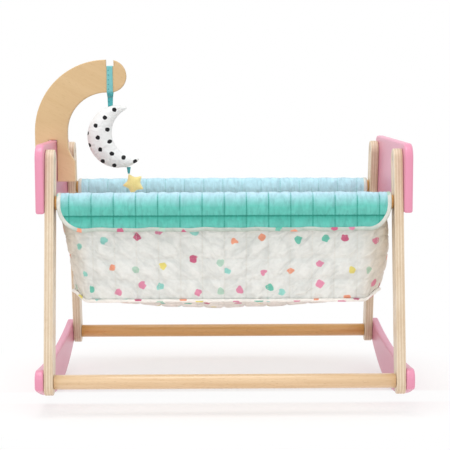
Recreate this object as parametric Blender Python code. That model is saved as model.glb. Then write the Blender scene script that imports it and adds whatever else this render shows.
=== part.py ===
"""A doll's rocking bed: a wooden A-frame on two rockers, with a quilted
fabric basket hung on two rails and a mobile arm on the left end plate.

Metres, +Z up. X runs along the bed, the front faces -Y, and the floor that
the rockers stand on is z = 0. The origin is under the middle of the whole
outline, arm included.
"""
import math

import bmesh
import bpy
from mathutils import Matrix, Vector

# Gaps and cuts
GAP = 0.0003                  # between faces that touch
SWING_GAP = 0.0007            # between a ribbon's end and what it swings on
CUT_OVERRUN = 0.002           # how far a cutter runs past the face it opens

# Wooden frame
BED_LENGTH = 0.540            # over the outer faces of the end plates
PLATE_THICKNESS = 0.012       # end plates and rockers
PLATE_HEIGHT = 0.099
PLATE_CORNER = 0.022          # radius of an end plate's upper corners
PLATE_LOWER_CORNER = 0.004    # radius of its lower corners
PLATE_OVERHANG = 0.0035       # past the legs' outer edges at the plate's foot
PLATE_RISE = 0.008            # plate's top edge above the leg tops
RAIL_ABOVE_PLATE_FOOT = 0.0145
BOARD_ROUNDING = 0.0028       # rounded edges of the painted boards
LEG_THICKNESS = 0.013
LEG_WIDTH = 0.034
LEG_ROUNDING = 0.0016
LEG_TOP = 0.379               # leg tops above the floor
FOOT_BELOW_EDGE = 0.0037      # leg feet below the rocker's running edge beside them
FOOT_SPREAD = 0.3764          # between the centres of the rounded feet
TOP_SPREAD = 0.2620           # between the centres of the rounded tops
LOWER_RAIL_ABOVE_FOOT = 0.019
RAIL_DIAMETER = 0.021
RAIL_CHAMFER = 0.0008

# Rockers
ROCKER_RADIUS = 0.540         # running edge
ROCKER_END_DEPTH = 0.0284     # between the running and the hollow edge at the ends
ROCKER_HOLLOW = 0.012         # upper edge's middle below its ends
ROCKER_OVERHANG = 0.020       # past the lower rail's axis
ROCKER_UPPER_CORNER = 0.014
ROCKER_LOWER_CORNER = 0.008
ROCKER_FLAT = 0.024           # level stretch that the bed rests on

# Screws and bolts
BOLT_DIAMETER = 0.006
BOLT_HEAD_DIAMETER = 0.012
BOLT_HEAD_HEIGHT = 0.004
BOLT_HEAD_INSET = 0.0005      # head below the board's face
BOLT_BITE = 0.038             # length inside the rail
BOLT_SOCKET_WIDTH = 0.004
BOLT_SOCKET_DEPTH = 0.0022
SCREW_DIAMETER = 0.0032
SCREW_HEAD_DIAMETER = 0.0066
SCREW_HEAD_HEIGHT = 0.0026
SCREW_HEAD_INSET = 0.0003
SCREW_BITE = 0.008            # length inside the plate
SCREW_RECESS_DIAMETER = 0.0026
SCREW_RECESS_DEPTH = 0.0015
SCREW_POINT_SHARE = 0.35      # of the shank's radius, at the screw's tip
BORE_CLEARANCE = 0.0003       # round a shank or a head, and past its end

# Mobile arm
ARM_THICKNESS = 0.012
ARM_OVERHANG = 0.0214         # arm's back edge past the end plate
ARM_RADIUS = 0.111            # outer bow
ARM_WIDTH = 0.0504
ARM_BOW_RISE = 0.0127         # centre of the bow above the plate's top edge
ARM_TIP_STRAIGHT = 0.0058
ARM_FOOT_DEPTH = 0.064        # prongs below the plate's top edge
ARM_FOOT_FLARE = 0.0112
ARM_FLARE_RADIUS = 0.047
ARM_FLARE_DROP = 0.002        # start of the flare below the plate's top edge
ARM_ROUNDING = 0.0015
ARM_SLOT_WIDTH = 0.0117
ARM_SLOT_DEPTH = 0.0106

# Ribbon, moon and star
RIBBON_WIDTH = 0.009
RIBBON_THICKNESS = 0.001
RIBBON_GATHER_DROP = 0.0075   # the two legs of the loop meet this far below the arm
TAIL_LENGTH = 0.0115
MOON_RADIUS = 0.0495
MOON_BITE_RADIUS = 0.0385
MOON_BITE_REACH = 0.0272      # from the moon's centre to the centre of its hollow
MOON_THICKNESS = 0.034
MOON_TURN = math.radians(13)  # the hollow's direction above the level
MOON_HALF_SPAN = math.radians(116)
MOON_HOLLOW_HALF_SPAN = math.radians(80)
MOON_HANG_ANGLE = math.radians(106)
STAR_HANG_ANGLE = math.radians(286)
STAR_LOOP_WIDTH = 0.0076
STAR_LOOP_FOOT_WIDTH = 0.003
STAR_LOOP_LENGTH = 0.0100
STAR_LOOP_THICKNESS = 0.002
STAR_RADIUS = 0.017
STAR_TIP_ROUNDING = 0.0016
STAR_THICKNESS = 0.013
STAR_TURN = math.radians(18)  # top point to the left of straight up
STAR_HOLLOW_SHARE = 0.56      # inner corners' radius over the points' radius

# Quilted basket
QUILT_PITCH = 0.0319          # between upright seams
QUILT_PUFF = 0.002            # padding's crown over its seams
CUFF_PAD = 0.0053             # padding round the rail, at its crown
CUFF_BROW = math.radians(5)   # where the cuff's skin turns straight down outside
CUFF_END_CLEARANCE = 0.0027   # cuff's end to the leg
TUNNEL_CLEARANCE = 0.0004     # cuff's tunnel round the rail
STITCH_DROP = 0.0185          # tunnel seam below the rail's axis
STITCH_GROOVE = 0.0012
FLAP_DROP = 0.0415            # cuff's lower edge below the rail's axis
FLAP_THICKNESS = 0.0028       # at its seams
FLAP_END_MARGIN = 0.001       # least length of the flap, at its rounded ends
BAND_WIDTH = 0.0072
WALL_THICKNESS = 0.005
WALL_INSET = 0.0055           # end walls in from the cuffs' ends
WALL_TAPER = 0.0155           # each end, top to bottom
WALL_LEAN = 0.0235            # front and rear, top to bottom
SEAM_DROP = 0.1455            # bottom seam below the rail's axis
END_DIP = 0.015               # hollow of the end walls' upper edge
CORNER_RISE = 0.012           # bottom seam's lift at the corners
CORNER_REACH = 0.022
BOTTOM_SAG = 0.027
PIPING_DIAMETER = 0.0048
PIPING_STANDOFF = 0.0009      # piping off the walls' seam, past their padding

# Number of facets and steps
ROUND_SIDES = 20
BOLT_SIDES = 12
BORE_SIDES = 16
END_STEPS = 8                 # over the half circle at a leg's end
CORNER_STEPS = 4
ARC_STEPS = 9
BOW_STEPS = 10
CUFF_STEPS = 9
TUNNEL_SIDES = 12
HEM_STEPS = 6
TAIL_STEPS = 4
WALL_ROWS = 4
BOTTOM_COLUMNS = 16
BOTTOM_ROWS = 8
MOON_RINGS = 21
MOON_SIDES = 14
CHANNEL_SHARES = (0.0, 0.2, 0.8)
END_CROWN_SHARE = 0.5         # crown left in the padding near a quilted piece's ends
MOON_SWELL_POWER = 0.75       # how fast the moon thins towards its tips
MOON_TIP_SHARES = ((0.03, 0.6),)
STAR_RING_SHARES = ((0.9, 0.45), (0.62, 0.8), (0.3, 0.97))

# Places that follow from the sizes above, in the bed's own frame, which is
# centred between the two end plates
RAIL_RADIUS = RAIL_DIAMETER / 2
half_length = BED_LENGTH / 2
plate_inner_x = half_length - PLATE_THICKNESS
leg_outer_x = plate_inner_x - GAP
leg_inner_x = leg_outer_x - LEG_THICKNESS


def running_edge(y):
    """Height of the rocker's running edge at a distance y from its middle."""
    centre = math.sqrt(ROCKER_RADIUS ** 2 - (ROCKER_FLAT / 2) ** 2)
    return centre - math.sqrt(ROCKER_RADIUS ** 2 - y ** 2)


foot_z = running_edge(FOOT_SPREAD / 2) - FOOT_BELOW_EDGE
leg_low_z = foot_z + LEG_WIDTH / 2
leg_high_z = LEG_TOP - LEG_WIDTH / 2
leg_middle_z = (leg_low_z + leg_high_z) / 2
leg_step_in = (FOOT_SPREAD - TOP_SPREAD) / 2
leg_lean = math.atan2(leg_step_in, leg_high_z - leg_low_z)
leg_run = math.hypot(leg_step_in, leg_high_z - leg_low_z)
plate_top = LEG_TOP + PLATE_RISE
plate_foot = plate_top - PLATE_HEIGHT
upper_rail_z = plate_foot + RAIL_ABOVE_PLATE_FOOT
lower_rail_z = foot_z + LOWER_RAIL_ABOVE_FOOT


def leg_y(z):
    """Distance of a leg's centre line from the middle at height z."""
    return FOOT_SPREAD / 2 - leg_step_in * (z - leg_low_z) / (leg_high_z - leg_low_z)


upper_rail_y = leg_y(upper_rail_z)
lower_rail_y = leg_y(lower_rail_z)
plate_half_width = leg_y(plate_foot) + LEG_WIDTH / 2 / math.cos(leg_lean) + PLATE_OVERHANG
rocker_half = lower_rail_y + ROCKER_OVERHANG
bed_x = ARM_OVERHANG / 2      # centres the whole outline on the origin

arm_back_x = -(half_length + ARM_OVERHANG)
bow_x = arm_back_x + ARM_RADIUS
bow_z = plate_top + ARM_BOW_RISE
arm_underside = bow_z + ARM_RADIUS - ARM_WIDTH
tip_x = bow_x + ARM_TIP_STRAIGHT
slot_floor = bow_z + ARM_RADIUS - ARM_SLOT_DEPTH

gather_z = arm_underside - RIBBON_GATHER_DROP
moon_pivot_z = gather_z - SWING_GAP / 2
tail_top = gather_z - SWING_GAP
moon_x = tip_x - MOON_RADIUS * math.cos(MOON_HANG_ANGLE)
moon_z = tail_top - TAIL_LENGTH - GAP - MOON_RADIUS * math.sin(MOON_HANG_ANGLE)
star_hang_x = moon_x + MOON_RADIUS * math.cos(STAR_HANG_ANGLE)
star_pivot_z = moon_z + MOON_RADIUS * math.sin(STAR_HANG_ANGLE)
star_top_z = star_pivot_z - SWING_GAP - STAR_LOOP_LENGTH
star_tip_angle = math.pi / 2 + STAR_TURN
star_x = star_hang_x - STAR_RADIUS * math.cos(star_tip_angle)
star_z = star_top_z - GAP - STAR_RADIUS * math.sin(star_tip_angle)

cuff_half = leg_inner_x - CUFF_END_CLEARANCE
lining_half = cuff_half - BAND_WIDTH
seam_radius = RAIL_RADIUS + CUFF_PAD - QUILT_PUFF
flap_back = seam_radius - FLAP_THICKNESS
hem_corner = FLAP_DROP - BAND_WIDTH - STITCH_DROP - FLAP_END_MARGIN
wall_half = cuff_half - WALL_INSET
wall_top = upper_rail_z - STITCH_DROP - GAP
wall_foot = upper_rail_z - SEAM_DROP
wall_top_y = upper_rail_y + flap_back - GAP - QUILT_PUFF


# Small helpers

def clear_scene():
    for item in list(bpy.data.objects):
        bpy.data.objects.remove(item, do_unlink=True)


def material(name, colour, roughness, metallic=0.0):
    found = bpy.data.materials.get(name)
    if found:
        return found
    made = bpy.data.materials.new(name)
    made.use_nodes = True
    shader = made.node_tree.nodes["Principled BSDF"]
    shader.inputs["Base Color"].default_value = (*colour, 1.0)
    shader.inputs["Roughness"].default_value = roughness
    shader.inputs["Metallic"].default_value = metallic
    made.diffuse_color = (*colour, 1.0)
    return made


def beech():
    return material("beech", (0.74, 0.54, 0.33), 0.45)


def plywood_edge():
    return material("birch_board", (0.80, 0.66, 0.46), 0.40)


def pink_paint():
    return material("pink_paint", (0.87, 0.38, 0.56), 0.35)


def steel():
    return material("zinc_steel", (0.60, 0.60, 0.58), 0.30, 1.0)


def white_cotton():
    return material("printed_cotton", (0.80, 0.80, 0.76), 0.90)


def teal_cotton():
    return material("teal_cotton", (0.12, 0.54, 0.45), 0.90)


def finished_mesh(name, bm, look):
    """Closes a bmesh into a mesh that faces outwards and is smooth where round."""
    bmesh.ops.recalc_face_normals(bm, faces=bm.faces)
    mesh = bpy.data.meshes.new(name)
    bm.to_mesh(mesh)
    bm.free()
    mesh.shade_smooth()
    mesh.set_sharp_from_angle(angle=math.radians(40))
    if look:
        mesh.materials.append(look)
    return mesh


def link(name, data, parent, location=(0, 0, 0), rotation=(0, 0, 0)):
    made = bpy.data.objects.new(name, data)
    bpy.context.collection.objects.link(made)
    made.parent = parent
    made.location = location
    made.rotation_euler = rotation
    return made


def add_object(name, bm, look, parent, location=(0, 0, 0), rotation=(0, 0, 0)):
    return link(name, finished_mesh(name, bm, look), parent, location, rotation)


def round_edges(made, width, segments=2):
    bevel = made.modifiers.new("rounding", "BEVEL")
    bevel.width = width
    bevel.segments = segments
    bevel.limit_method = "ANGLE"
    bevel.angle_limit = math.radians(50)


def cut(made, cutter):
    cutter.hide_render = True
    cutter.display_type = "WIRE"
    bores = made.modifiers.new("bores", "BOOLEAN")
    bores.operation = "DIFFERENCE"
    bores.solver = "EXACT"
    bores.object = cutter


def arc(centre, radius, start, end, steps):
    """Points on an arc, both ends included, as (across, up) pairs."""
    points = []
    for step in range(steps + 1):
        angle = start + (end - start) * step / steps
        points.append((centre[0] + radius * math.cos(angle),
                       centre[1] + radius * math.sin(angle)))
    return points


def prism(bm, outline, low, high, along):
    """A flat outline pushed from low to high along X or along Y."""
    if along == "X":
        rings = [[Vector((depth, a, b)) for a, b in outline] for depth in (low, high)]
    else:
        rings = [[Vector((a, depth, b)) for a, b in outline] for depth in (low, high)]
    loft(bm, rings, capped=True)


def loft(bm, rings, capped):
    """Skins a row of rings that have one number of points."""
    rows = [[bm.verts.new(point) for point in ring] for ring in rings]
    for row, after in zip(rows, rows[1:]):
        for i in range(len(row)):
            bm.faces.new((row[i - 1], row[i], after[i], after[i - 1]))
    if capped:
        bm.faces.new(rows[0])
        bm.faces.new(rows[-1])
    return rows


def turned(bm, profile, sides, place):
    """A profile of (along, radius) pairs turned round X; it starts and ends
    on the axis, and place is the matrix that puts it where it belongs."""
    rows = []
    for along, radius in profile:
        if radius == 0:
            rows.append([bm.verts.new(place @ Vector((along, 0, 0)))])
            continue
        ring = arc((0, 0), radius, 0, math.tau * (sides - 1) / sides, sides - 1)
        rows.append([bm.verts.new(place @ Vector((along, a, b))) for a, b in ring])
    for row, after in zip(rows, rows[1:]):
        for i in range(sides):
            here = (row[i - 1], row[i]) if len(row) > 1 else (row[0],)
            there = (after[i], after[i - 1]) if len(after) > 1 else (after[0],)
            bm.faces.new(here + there)


def facing(x, y, z, side):
    """Places a turned piece at a point, pointing to +X (side 1) or -X (-1)."""
    turn = 0 if side > 0 else math.pi
    return Matrix.Translation((x, y, z)) @ Matrix.Rotation(turn, 4, "Z")


def box(bm, low, high):
    outline = [(low[1], low[2]), (high[1], low[2]), (high[1], high[2]), (low[1], high[2])]
    prism(bm, outline, low[0], high[0], "X")


def sheet_solid(bm, outer, inner):
    """A solid between two grids of points with the same rows and columns."""
    rims = []
    for points in (outer, inner):
        grid = [[bm.verts.new(point) for point in row] for row in points]
        for row, after in zip(grid, grid[1:]):
            for i in range(len(row) - 1):
                bm.faces.new((row[i], row[i + 1], after[i + 1], after[i]))
        rim = list(grid[0]) + [row[-1] for row in grid[1:-1]]
        rim += list(reversed(grid[-1])) + [row[0] for row in reversed(grid[1:-1])]
        rims.append(rim)
    for i in range(len(rims[0])):
        bm.faces.new((rims[0][i - 1], rims[0][i], rims[1][i], rims[1][i - 1]))


# Fasteners

shank_bore = BOLT_DIAMETER / 2 + BORE_CLEARANCE
head_bore = BOLT_HEAD_DIAMETER / 2 + BORE_CLEARANCE
head_seat = BOLT_HEAD_INSET + BOLT_HEAD_HEIGHT + BORE_CLEARANCE
bolt_end = PLATE_THICKNESS + GAP + LEG_THICKNESS + GAP + BOLT_BITE
screw_bore = SCREW_DIAMETER / 2 + BORE_CLEARANCE
screw_head_bore = SCREW_HEAD_DIAMETER / 2 + BORE_CLEARANCE
screw_end = LEG_THICKNESS + GAP + SCREW_BITE


def bolt_mesh():
    """A flat-headed bolt along +X with a six-sided socket in its head."""
    head = BOLT_HEAD_DIAMETER / 2
    shank = BOLT_DIAMETER / 2
    shoulder = BOLT_HEAD_INSET + BOLT_HEAD_HEIGHT
    flats = BOLT_SOCKET_WIDTH / 2
    corners = flats / math.cos(math.pi / 6)
    profile = [(BOLT_HEAD_INSET + BOLT_SOCKET_DEPTH, flats, corners),
               (BOLT_HEAD_INSET, flats, corners), (BOLT_HEAD_INSET, head, head),
               (shoulder, head, head), (shoulder, shank, shank),
               (bolt_end - shank, shank, shank), (bolt_end, shank / 2, shank / 2)]
    rings = []
    for along, even, odd in profile:
        ring = []
        for i in range(BOLT_SIDES):
            angle = math.tau * i / BOLT_SIDES
            radius = odd if i % 2 else even
            ring.append(Vector((along, radius * math.cos(angle), radius * math.sin(angle))))
        rings.append(ring)
    bm = bmesh.new()
    loft(bm, rings, capped=True)
    return finished_mesh("flat_head_bolt", bm, steel())


def screw_mesh():
    """A countersunk screw along +X, recessed at its head."""
    head = SCREW_HEAD_DIAMETER / 2
    shank = SCREW_DIAMETER / 2
    shoulder = SCREW_HEAD_INSET + SCREW_HEAD_HEIGHT
    profile = [(SCREW_HEAD_INSET + SCREW_RECESS_DEPTH, 0),
               (SCREW_HEAD_INSET, SCREW_RECESS_DIAMETER / 2), (SCREW_HEAD_INSET, head),
               (shoulder, shank), (screw_end - shank, shank),
               (screw_end, shank * SCREW_POINT_SHARE), (screw_end, 0)]
    bm = bmesh.new()
    turned(bm, profile, BOLT_SIDES, Matrix.Identity(4))
    return finished_mesh("countersunk_screw", bm, steel())


def fasteners(sides, faces, parent):
    """Bolts from outside through an end board and a leg into a rail, and a
    screw at each leg's top from inside into the end plate."""
    bolt = bolt_mesh()
    screw = screw_mesh()
    turn = {1: (0, 0, 0), -1: (0, 0, math.pi)}
    for side_name, side in sides:
        for face_name, face in faces:
            place = face_name + "_" + side_name
            link("end_plate_bolt_" + place, bolt, parent,
                 (side * half_length, face * upper_rail_y, upper_rail_z), turn[-side])
            link("rocker_bolt_" + place, bolt, parent,
                 (side * half_length, face * lower_rail_y, lower_rail_z), turn[-side])
            link("plate_screw_" + place, screw, parent,
                 (side * leg_inner_x, face * TOP_SPREAD / 2, leg_high_z), turn[side])


def board_bores(bores, side, y, z):
    """Stepped bore for a bolt in an end board whose outer face is at half_length."""
    profile = [(-CUT_OVERRUN, 0), (-CUT_OVERRUN, head_bore), (head_seat, head_bore),
               (head_seat, shank_bore), (PLATE_THICKNESS + CUT_OVERRUN, shank_bore),
               (PLATE_THICKNESS + CUT_OVERRUN, 0)]
    turned(bores, profile, BORE_SIDES, facing(side * half_length, y, z, -side))


# Wooden frame

def leg(name, side, face, parent):
    """A board with round ends, leaning in towards the top."""
    bottom, top = -leg_run / 2, leg_run / 2
    outline = arc((0, top), LEG_WIDTH / 2, 0, math.pi, END_STEPS)
    outline += arc((0, bottom), LEG_WIDTH / 2, math.pi, math.tau, END_STEPS)
    bm = bmesh.new()
    prism(bm, outline, -LEG_THICKNESS / 2, LEG_THICKNESS / 2, "X")
    middle = Vector((side * (leg_outer_x - LEG_THICKNESS / 2),
                     face * (FOOT_SPREAD + TOP_SPREAD) / 4, leg_middle_z))
    rotation = (face * leg_lean, 0, 0)
    made = add_object(name, bm, plywood_edge(), parent, middle, rotation)
    round_edges(made, LEG_ROUNDING)
    bores = bmesh.new()
    reach = LEG_THICKNESS / 2 + CUT_OVERRUN
    for z in (lower_rail_z, upper_rail_z):
        along = (z - leg_middle_z) / math.cos(leg_lean)
        profile = [(-reach, 0), (-reach, shank_bore), (reach, shank_bore), (reach, 0)]
        turned(bores, profile, BORE_SIDES, Matrix.Translation((0, 0, along)))
    start = -LEG_THICKNESS / 2
    shoulder = start + SCREW_HEAD_INSET + SCREW_HEAD_HEIGHT
    profile = [(start - CUT_OVERRUN, 0), (start - CUT_OVERRUN, screw_head_bore),
               (start + SCREW_HEAD_INSET, screw_head_bore), (shoulder, screw_bore),
               (reach, screw_bore), (reach, 0)]
    turned(bores, profile, BORE_SIDES, facing(0, 0, top, side))
    cut(made, add_object(name + "_cutter", bores, None, parent, middle, rotation))


def end_plate(name, side, parent):
    """The painted board outside the two leg tops."""
    upper = PLATE_CORNER
    lower = PLATE_LOWER_CORNER
    upper_y = plate_half_width - upper
    lower_y = plate_half_width - lower
    outline = arc((upper_y, plate_top - upper), upper, 0, math.pi / 2, CORNER_STEPS)
    outline += arc((-upper_y, plate_top - upper), upper, math.pi / 2, math.pi, CORNER_STEPS)
    outline += arc((-lower_y, plate_foot + lower), lower, math.pi, math.pi * 3 / 2, 2)
    outline += arc((lower_y, plate_foot + lower), lower, -math.pi / 2, 0, 2)
    bm = bmesh.new()
    prism(bm, outline, side * plate_inner_x, side * half_length, "X")
    made = add_object(name, bm, pink_paint(), parent)
    round_edges(made, BOARD_ROUNDING)
    bores = bmesh.new()
    depth = SCREW_BITE + BORE_CLEARANCE
    for face in (-1, 1):
        board_bores(bores, side, face * upper_rail_y, upper_rail_z)
        profile = [(-CUT_OVERRUN, 0), (-CUT_OVERRUN, screw_bore), (depth, screw_bore), (depth, 0)]
        turned(bores, profile, BOLT_SIDES,
               facing(side * plate_inner_x, face * TOP_SPREAD / 2, leg_high_z, side))
    cut(made, add_object(name + "_cutter", bores, None, parent))


def rocker_outline():
    """Half of the rocker's edge from its level stretch round to the top's
    middle, then the same again mirrored. The hollow edge is the arc through
    the heights of the middle and the ends. Both end corners are fillets
    between the upright end and the running or the hollow edge."""
    running = ROCKER_RADIUS
    centre_z = running + running_edge(0)
    lower = ROCKER_LOWER_CORNER
    upper = ROCKER_UPPER_CORNER
    middle_z = running_edge(rocker_half) + ROCKER_END_DEPTH - ROCKER_HOLLOW
    hollow = (rocker_half ** 2 / ROCKER_HOLLOW + ROCKER_HOLLOW) / 2
    low_y = rocker_half - lower
    low_z = centre_z - math.sqrt((running - lower) ** 2 - low_y ** 2)
    low_angle = math.atan2(low_z - centre_z, low_y)
    hollow_z = middle_z + hollow
    high_y = rocker_half - upper
    high_z = hollow_z - math.sqrt((hollow + upper) ** 2 - high_y ** 2)
    high_angle = math.atan2(hollow_z - high_z, -high_y)
    start = math.atan2(-centre_z, ROCKER_FLAT / 2)
    half = arc((0, centre_z), running, start, low_angle, ARC_STEPS)
    half += arc((low_y, low_z), lower, low_angle, 0, CORNER_STEPS)[1:]
    half += arc((high_y, high_z), upper, 0, high_angle, CORNER_STEPS)
    end = high_angle - math.pi
    half += arc((0, hollow_z), hollow, end, -math.pi / 2, ARC_STEPS)[1:]
    other = [(-a, b) for a, b in reversed(half[:-1])]
    return half + other


def rocker(name, side, parent):
    bm = bmesh.new()
    prism(bm, rocker_outline(), side * plate_inner_x, side * half_length, "X")
    made = add_object(name, bm, pink_paint(), parent)
    round_edges(made, BOARD_ROUNDING)
    bores = bmesh.new()
    for face in (-1, 1):
        board_bores(bores, side, face * lower_rail_y, lower_rail_z)
    cut(made, add_object(name + "_cutter", bores, None, parent))


def rail(name, y, z, parent):
    """A round rail between the legs, bored at both ends for its bolts."""
    end = leg_inner_x - GAP
    bore = BOLT_BITE + BORE_CLEARANCE
    half = [(bore - end, 0), (bore - end, shank_bore), (-end, shank_bore),
            (-end, RAIL_RADIUS - RAIL_CHAMFER), (RAIL_CHAMFER - end, RAIL_RADIUS)]
    profile = half + [(-along, radius) for along, radius in reversed(half)]
    bm = bmesh.new()
    turned(bm, profile, ROUND_SIDES, Matrix.Identity(4))
    add_object(name, bm, beech(), parent, (0, y, z))


# Mobile arm with its ribbon, moon and star

def mobile_arm(parent):
    """A bowed board. Its foot has a notch that straddles the end plate, and
    its tip a slot that keeps the ribbon in place."""
    foot = plate_top - ARM_FOOT_DEPTH
    inner_x = arm_back_x + ARM_WIDTH
    flare_z = plate_top - ARM_FLARE_DROP
    flare_turn = math.acos(1 - ARM_FOOT_FLARE / ARM_FLARE_RADIUS)
    tip = ARM_WIDTH / 2
    outline = [(arm_back_x, foot)]
    outline += arc((bow_x, bow_z), ARM_RADIUS, math.pi, math.pi / 2, BOW_STEPS)
    outline += arc((tip_x, arm_underside + tip), tip, math.pi / 2, -math.pi / 2, END_STEPS)
    outline += arc((bow_x, bow_z), ARM_RADIUS - ARM_WIDTH, math.pi / 2, math.pi, BOW_STEPS)
    outline += arc((inner_x + ARM_FLARE_RADIUS, flare_z), ARM_FLARE_RADIUS,
                   math.pi, math.pi + flare_turn, CORNER_STEPS)
    outline += [(inner_x + ARM_FOOT_FLARE, foot)]
    bm = bmesh.new()
    prism(bm, outline, -ARM_THICKNESS / 2, ARM_THICKNESS / 2, "Y")
    made = add_object("mobile_arm", bm, beech(), parent)
    round_edges(made, ARM_ROUNDING)
    cuts = bmesh.new()
    deep = ARM_THICKNESS / 2 + CUT_OVERRUN
    box(cuts, (-half_length - GAP, -deep, foot - CUT_OVERRUN),
        (GAP - plate_inner_x, deep, plate_top + GAP))
    box(cuts, (tip_x - ARM_SLOT_WIDTH / 2, -deep, slot_floor),
        (tip_x + ARM_SLOT_WIDTH / 2, deep, bow_z + ARM_RADIUS + CUT_OVERRUN))
    cut(made, add_object("mobile_arm_cutter", cuts, None, parent))


def strap_loop(parent):
    """Ribbon over the slot's floor and down both faces, gathered below."""
    inside = ARM_THICKNESS / 2 + GAP
    outside = inside + RIBBON_THICKNESS
    top = slot_floor + GAP
    over = top + RIBBON_THICKNESS
    thin = RIBBON_THICKNESS
    low = arm_underside - GAP
    crotch = gather_z + 2 * thin
    outer = [(outside, low), (outside, top), (inside, over), (-inside, over),
             (-outside, top), (-outside, low), (-thin, gather_z), (thin, gather_z)]
    inner = [(inside, low), (inside, top), (inside - thin, top), (thin - inside, top),
             (-inside, top), (-inside, low), (-thin / 2, crotch), (thin / 2, crotch)]
    bm = bmesh.new()
    skins = []
    for outline in (outer, inner):
        rings = [[Vector((x, a, b)) for a, b in outline]
                 for x in (tip_x - RIBBON_WIDTH / 2, tip_x + RIBBON_WIDTH / 2)]
        skins.append(loft(bm, rings, capped=False))
    for end in (0, 1):
        for i in range(len(outer)):
            bm.faces.new((skins[0][end][i - 1], skins[0][end][i],
                          skins[1][end][i], skins[1][end][i - 1]))
    add_object("strap_loop", bm, material("teal_ribbon", (0.12, 0.55, 0.58), 0.70), parent)


def strap_tail(parent):
    """The gathered ribbon from the pivot down to the moon, cut to its curve."""
    left = tip_x - RIBBON_WIDTH / 2
    right = tip_x + RIBBON_WIDTH / 2
    outline = [(left, tail_top), (right, tail_top)]
    for step in range(TAIL_STEPS + 1):
        x = right - RIBBON_WIDTH * step / TAIL_STEPS
        outline.append((x, moon_z + math.sqrt(MOON_RADIUS ** 2 - (x - moon_x) ** 2) + GAP))
    bm = bmesh.new()
    prism(bm, [(a, b - moon_pivot_z) for a, b in outline], -RIBBON_THICKNESS, RIBBON_THICKNESS, "Y")
    add_object("strap_tail", bm, material("teal_ribbon", (0.12, 0.55, 0.58), 0.70), parent)


def moon(parent):
    """A stuffed crescent: each ring spans from the outer round to the hollow
    and is thickest where the crescent is widest."""
    middle = MOON_TURN + math.pi
    hollow_x = moon_x + MOON_BITE_REACH * math.cos(MOON_TURN)
    hollow_z = moon_z + MOON_BITE_REACH * math.sin(MOON_TURN)
    widest = MOON_RADIUS - MOON_BITE_RADIUS + MOON_BITE_REACH

    def edge_points(share):
        outer = middle + share * MOON_HALF_SPAN
        inner = middle + share * MOON_HOLLOW_HALF_SPAN
        return (Vector((moon_x + MOON_RADIUS * math.cos(outer), 0,
                        moon_z + MOON_RADIUS * math.sin(outer))),
                Vector((hollow_x + MOON_BITE_RADIUS * math.cos(inner), 0,
                        hollow_z + MOON_BITE_RADIUS * math.sin(inner))))

    def ring(share, scale):
        outer, inner = edge_points(share)
        centre = (outer + inner) / 2
        reach = (outer - inner) / 2 * scale
        thick = MOON_THICKNESS / 2 * (2 * reach.length / widest) ** MOON_SWELL_POWER
        return [centre + reach * a + Vector((0, thick * b, 0)) - pivot
                for a, b in arc((0, 0), 1, 0, math.tau * (MOON_SIDES - 1) / MOON_SIDES,
                                MOON_SIDES - 1)]

    pivot = Vector((0, 0, moon_pivot_z))
    ends = [(1 + beyond, scale) for beyond, scale in MOON_TIP_SHARES]
    stations = [(-share, scale) for share, scale in reversed(ends)]
    stations += [(-1 + 2 * i / (MOON_RINGS - 1), 1) for i in range(MOON_RINGS)] + ends
    bm = bmesh.new()
    loft(bm, [ring(share, scale) for share, scale in stations], capped=True)
    add_object("moon", bm, material("white_plush", (0.86, 0.86, 0.86), 0.95), parent)


def star_loop(parent):
    """The folded ribbon between the moon and the star's top point."""
    wide = STAR_LOOP_WIDTH / 2
    narrow = STAR_LOOP_FOOT_WIDTH / 2
    outline = [(x, moon_z - math.sqrt(MOON_RADIUS ** 2 - (x - moon_x) ** 2) - SWING_GAP)
               for x in (star_hang_x - wide, star_hang_x + wide)]
    outline += [(star_hang_x + narrow, star_top_z), (star_hang_x - narrow, star_top_z)]
    bm = bmesh.new()
    prism(bm, [(a, b - star_pivot_z) for a, b in outline],
          -STAR_LOOP_THICKNESS / 2, STAR_LOOP_THICKNESS / 2, "Y")
    add_object("star_loop", bm, material("teal_ribbon", (0.12, 0.55, 0.58), 0.70), parent)


def star(parent):
    """A padded star of two faces that swell from one seam."""
    outline = []
    for point in range(5):
        angle = star_tip_angle + math.tau * point / 5
        tip = STAR_RADIUS - STAR_TIP_ROUNDING
        for turn, radius in ((-STAR_TIP_ROUNDING, tip), (0, STAR_RADIUS), (STAR_TIP_ROUNDING, tip)):
            outline.append((radius * math.cos(angle) - turn * math.sin(angle),
                            radius * math.sin(angle) + turn * math.cos(angle)))
        hollow = angle + math.pi / 5
        outline.append((STAR_RADIUS * STAR_HOLLOW_SHARE * math.cos(hollow),
                        STAR_RADIUS * STAR_HOLLOW_SHARE * math.sin(hollow)))
    bm = bmesh.new()
    rings = []
    back = [(size, -height) for size, height in reversed(STAR_RING_SHARES)]
    for size, height in back + [(1, 0)] + list(STAR_RING_SHARES):
        y = height * STAR_THICKNESS / 2
        rings.append([Vector((star_x + a * size, y, star_z + b * size - star_pivot_z))
                      for a, b in outline])
    loft(bm, rings, capped=True)
    add_object("star", bm, material("yellow_felt", (0.93, 0.72, 0.22), 0.90), parent)


# Quilted basket

def bulge(share):
    """Crown of a quilted channel, from nought at its seams to one between them."""
    return math.sqrt(math.sin(math.pi * share))


def channel_stations(half):
    """(x, crown) along a piece of this half length: its seams lie a pitch
    apart and are centred, and each end is drawn in like a seam."""
    count = max(1, int(2 * half / QUILT_PITCH))
    first = -count * QUILT_PITCH / 2
    margin = half + first
    stations = [(-half, 0), (-half + margin / 2, END_CROWN_SHARE)]
    for channel in range(count):
        for share in CHANNEL_SHARES:
            stations.append((first + (channel + share) * QUILT_PITCH, bulge(share)))
    return stations + [(-first, 0), (half - margin / 2, END_CROWN_SHARE), (half, 0)]


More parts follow.
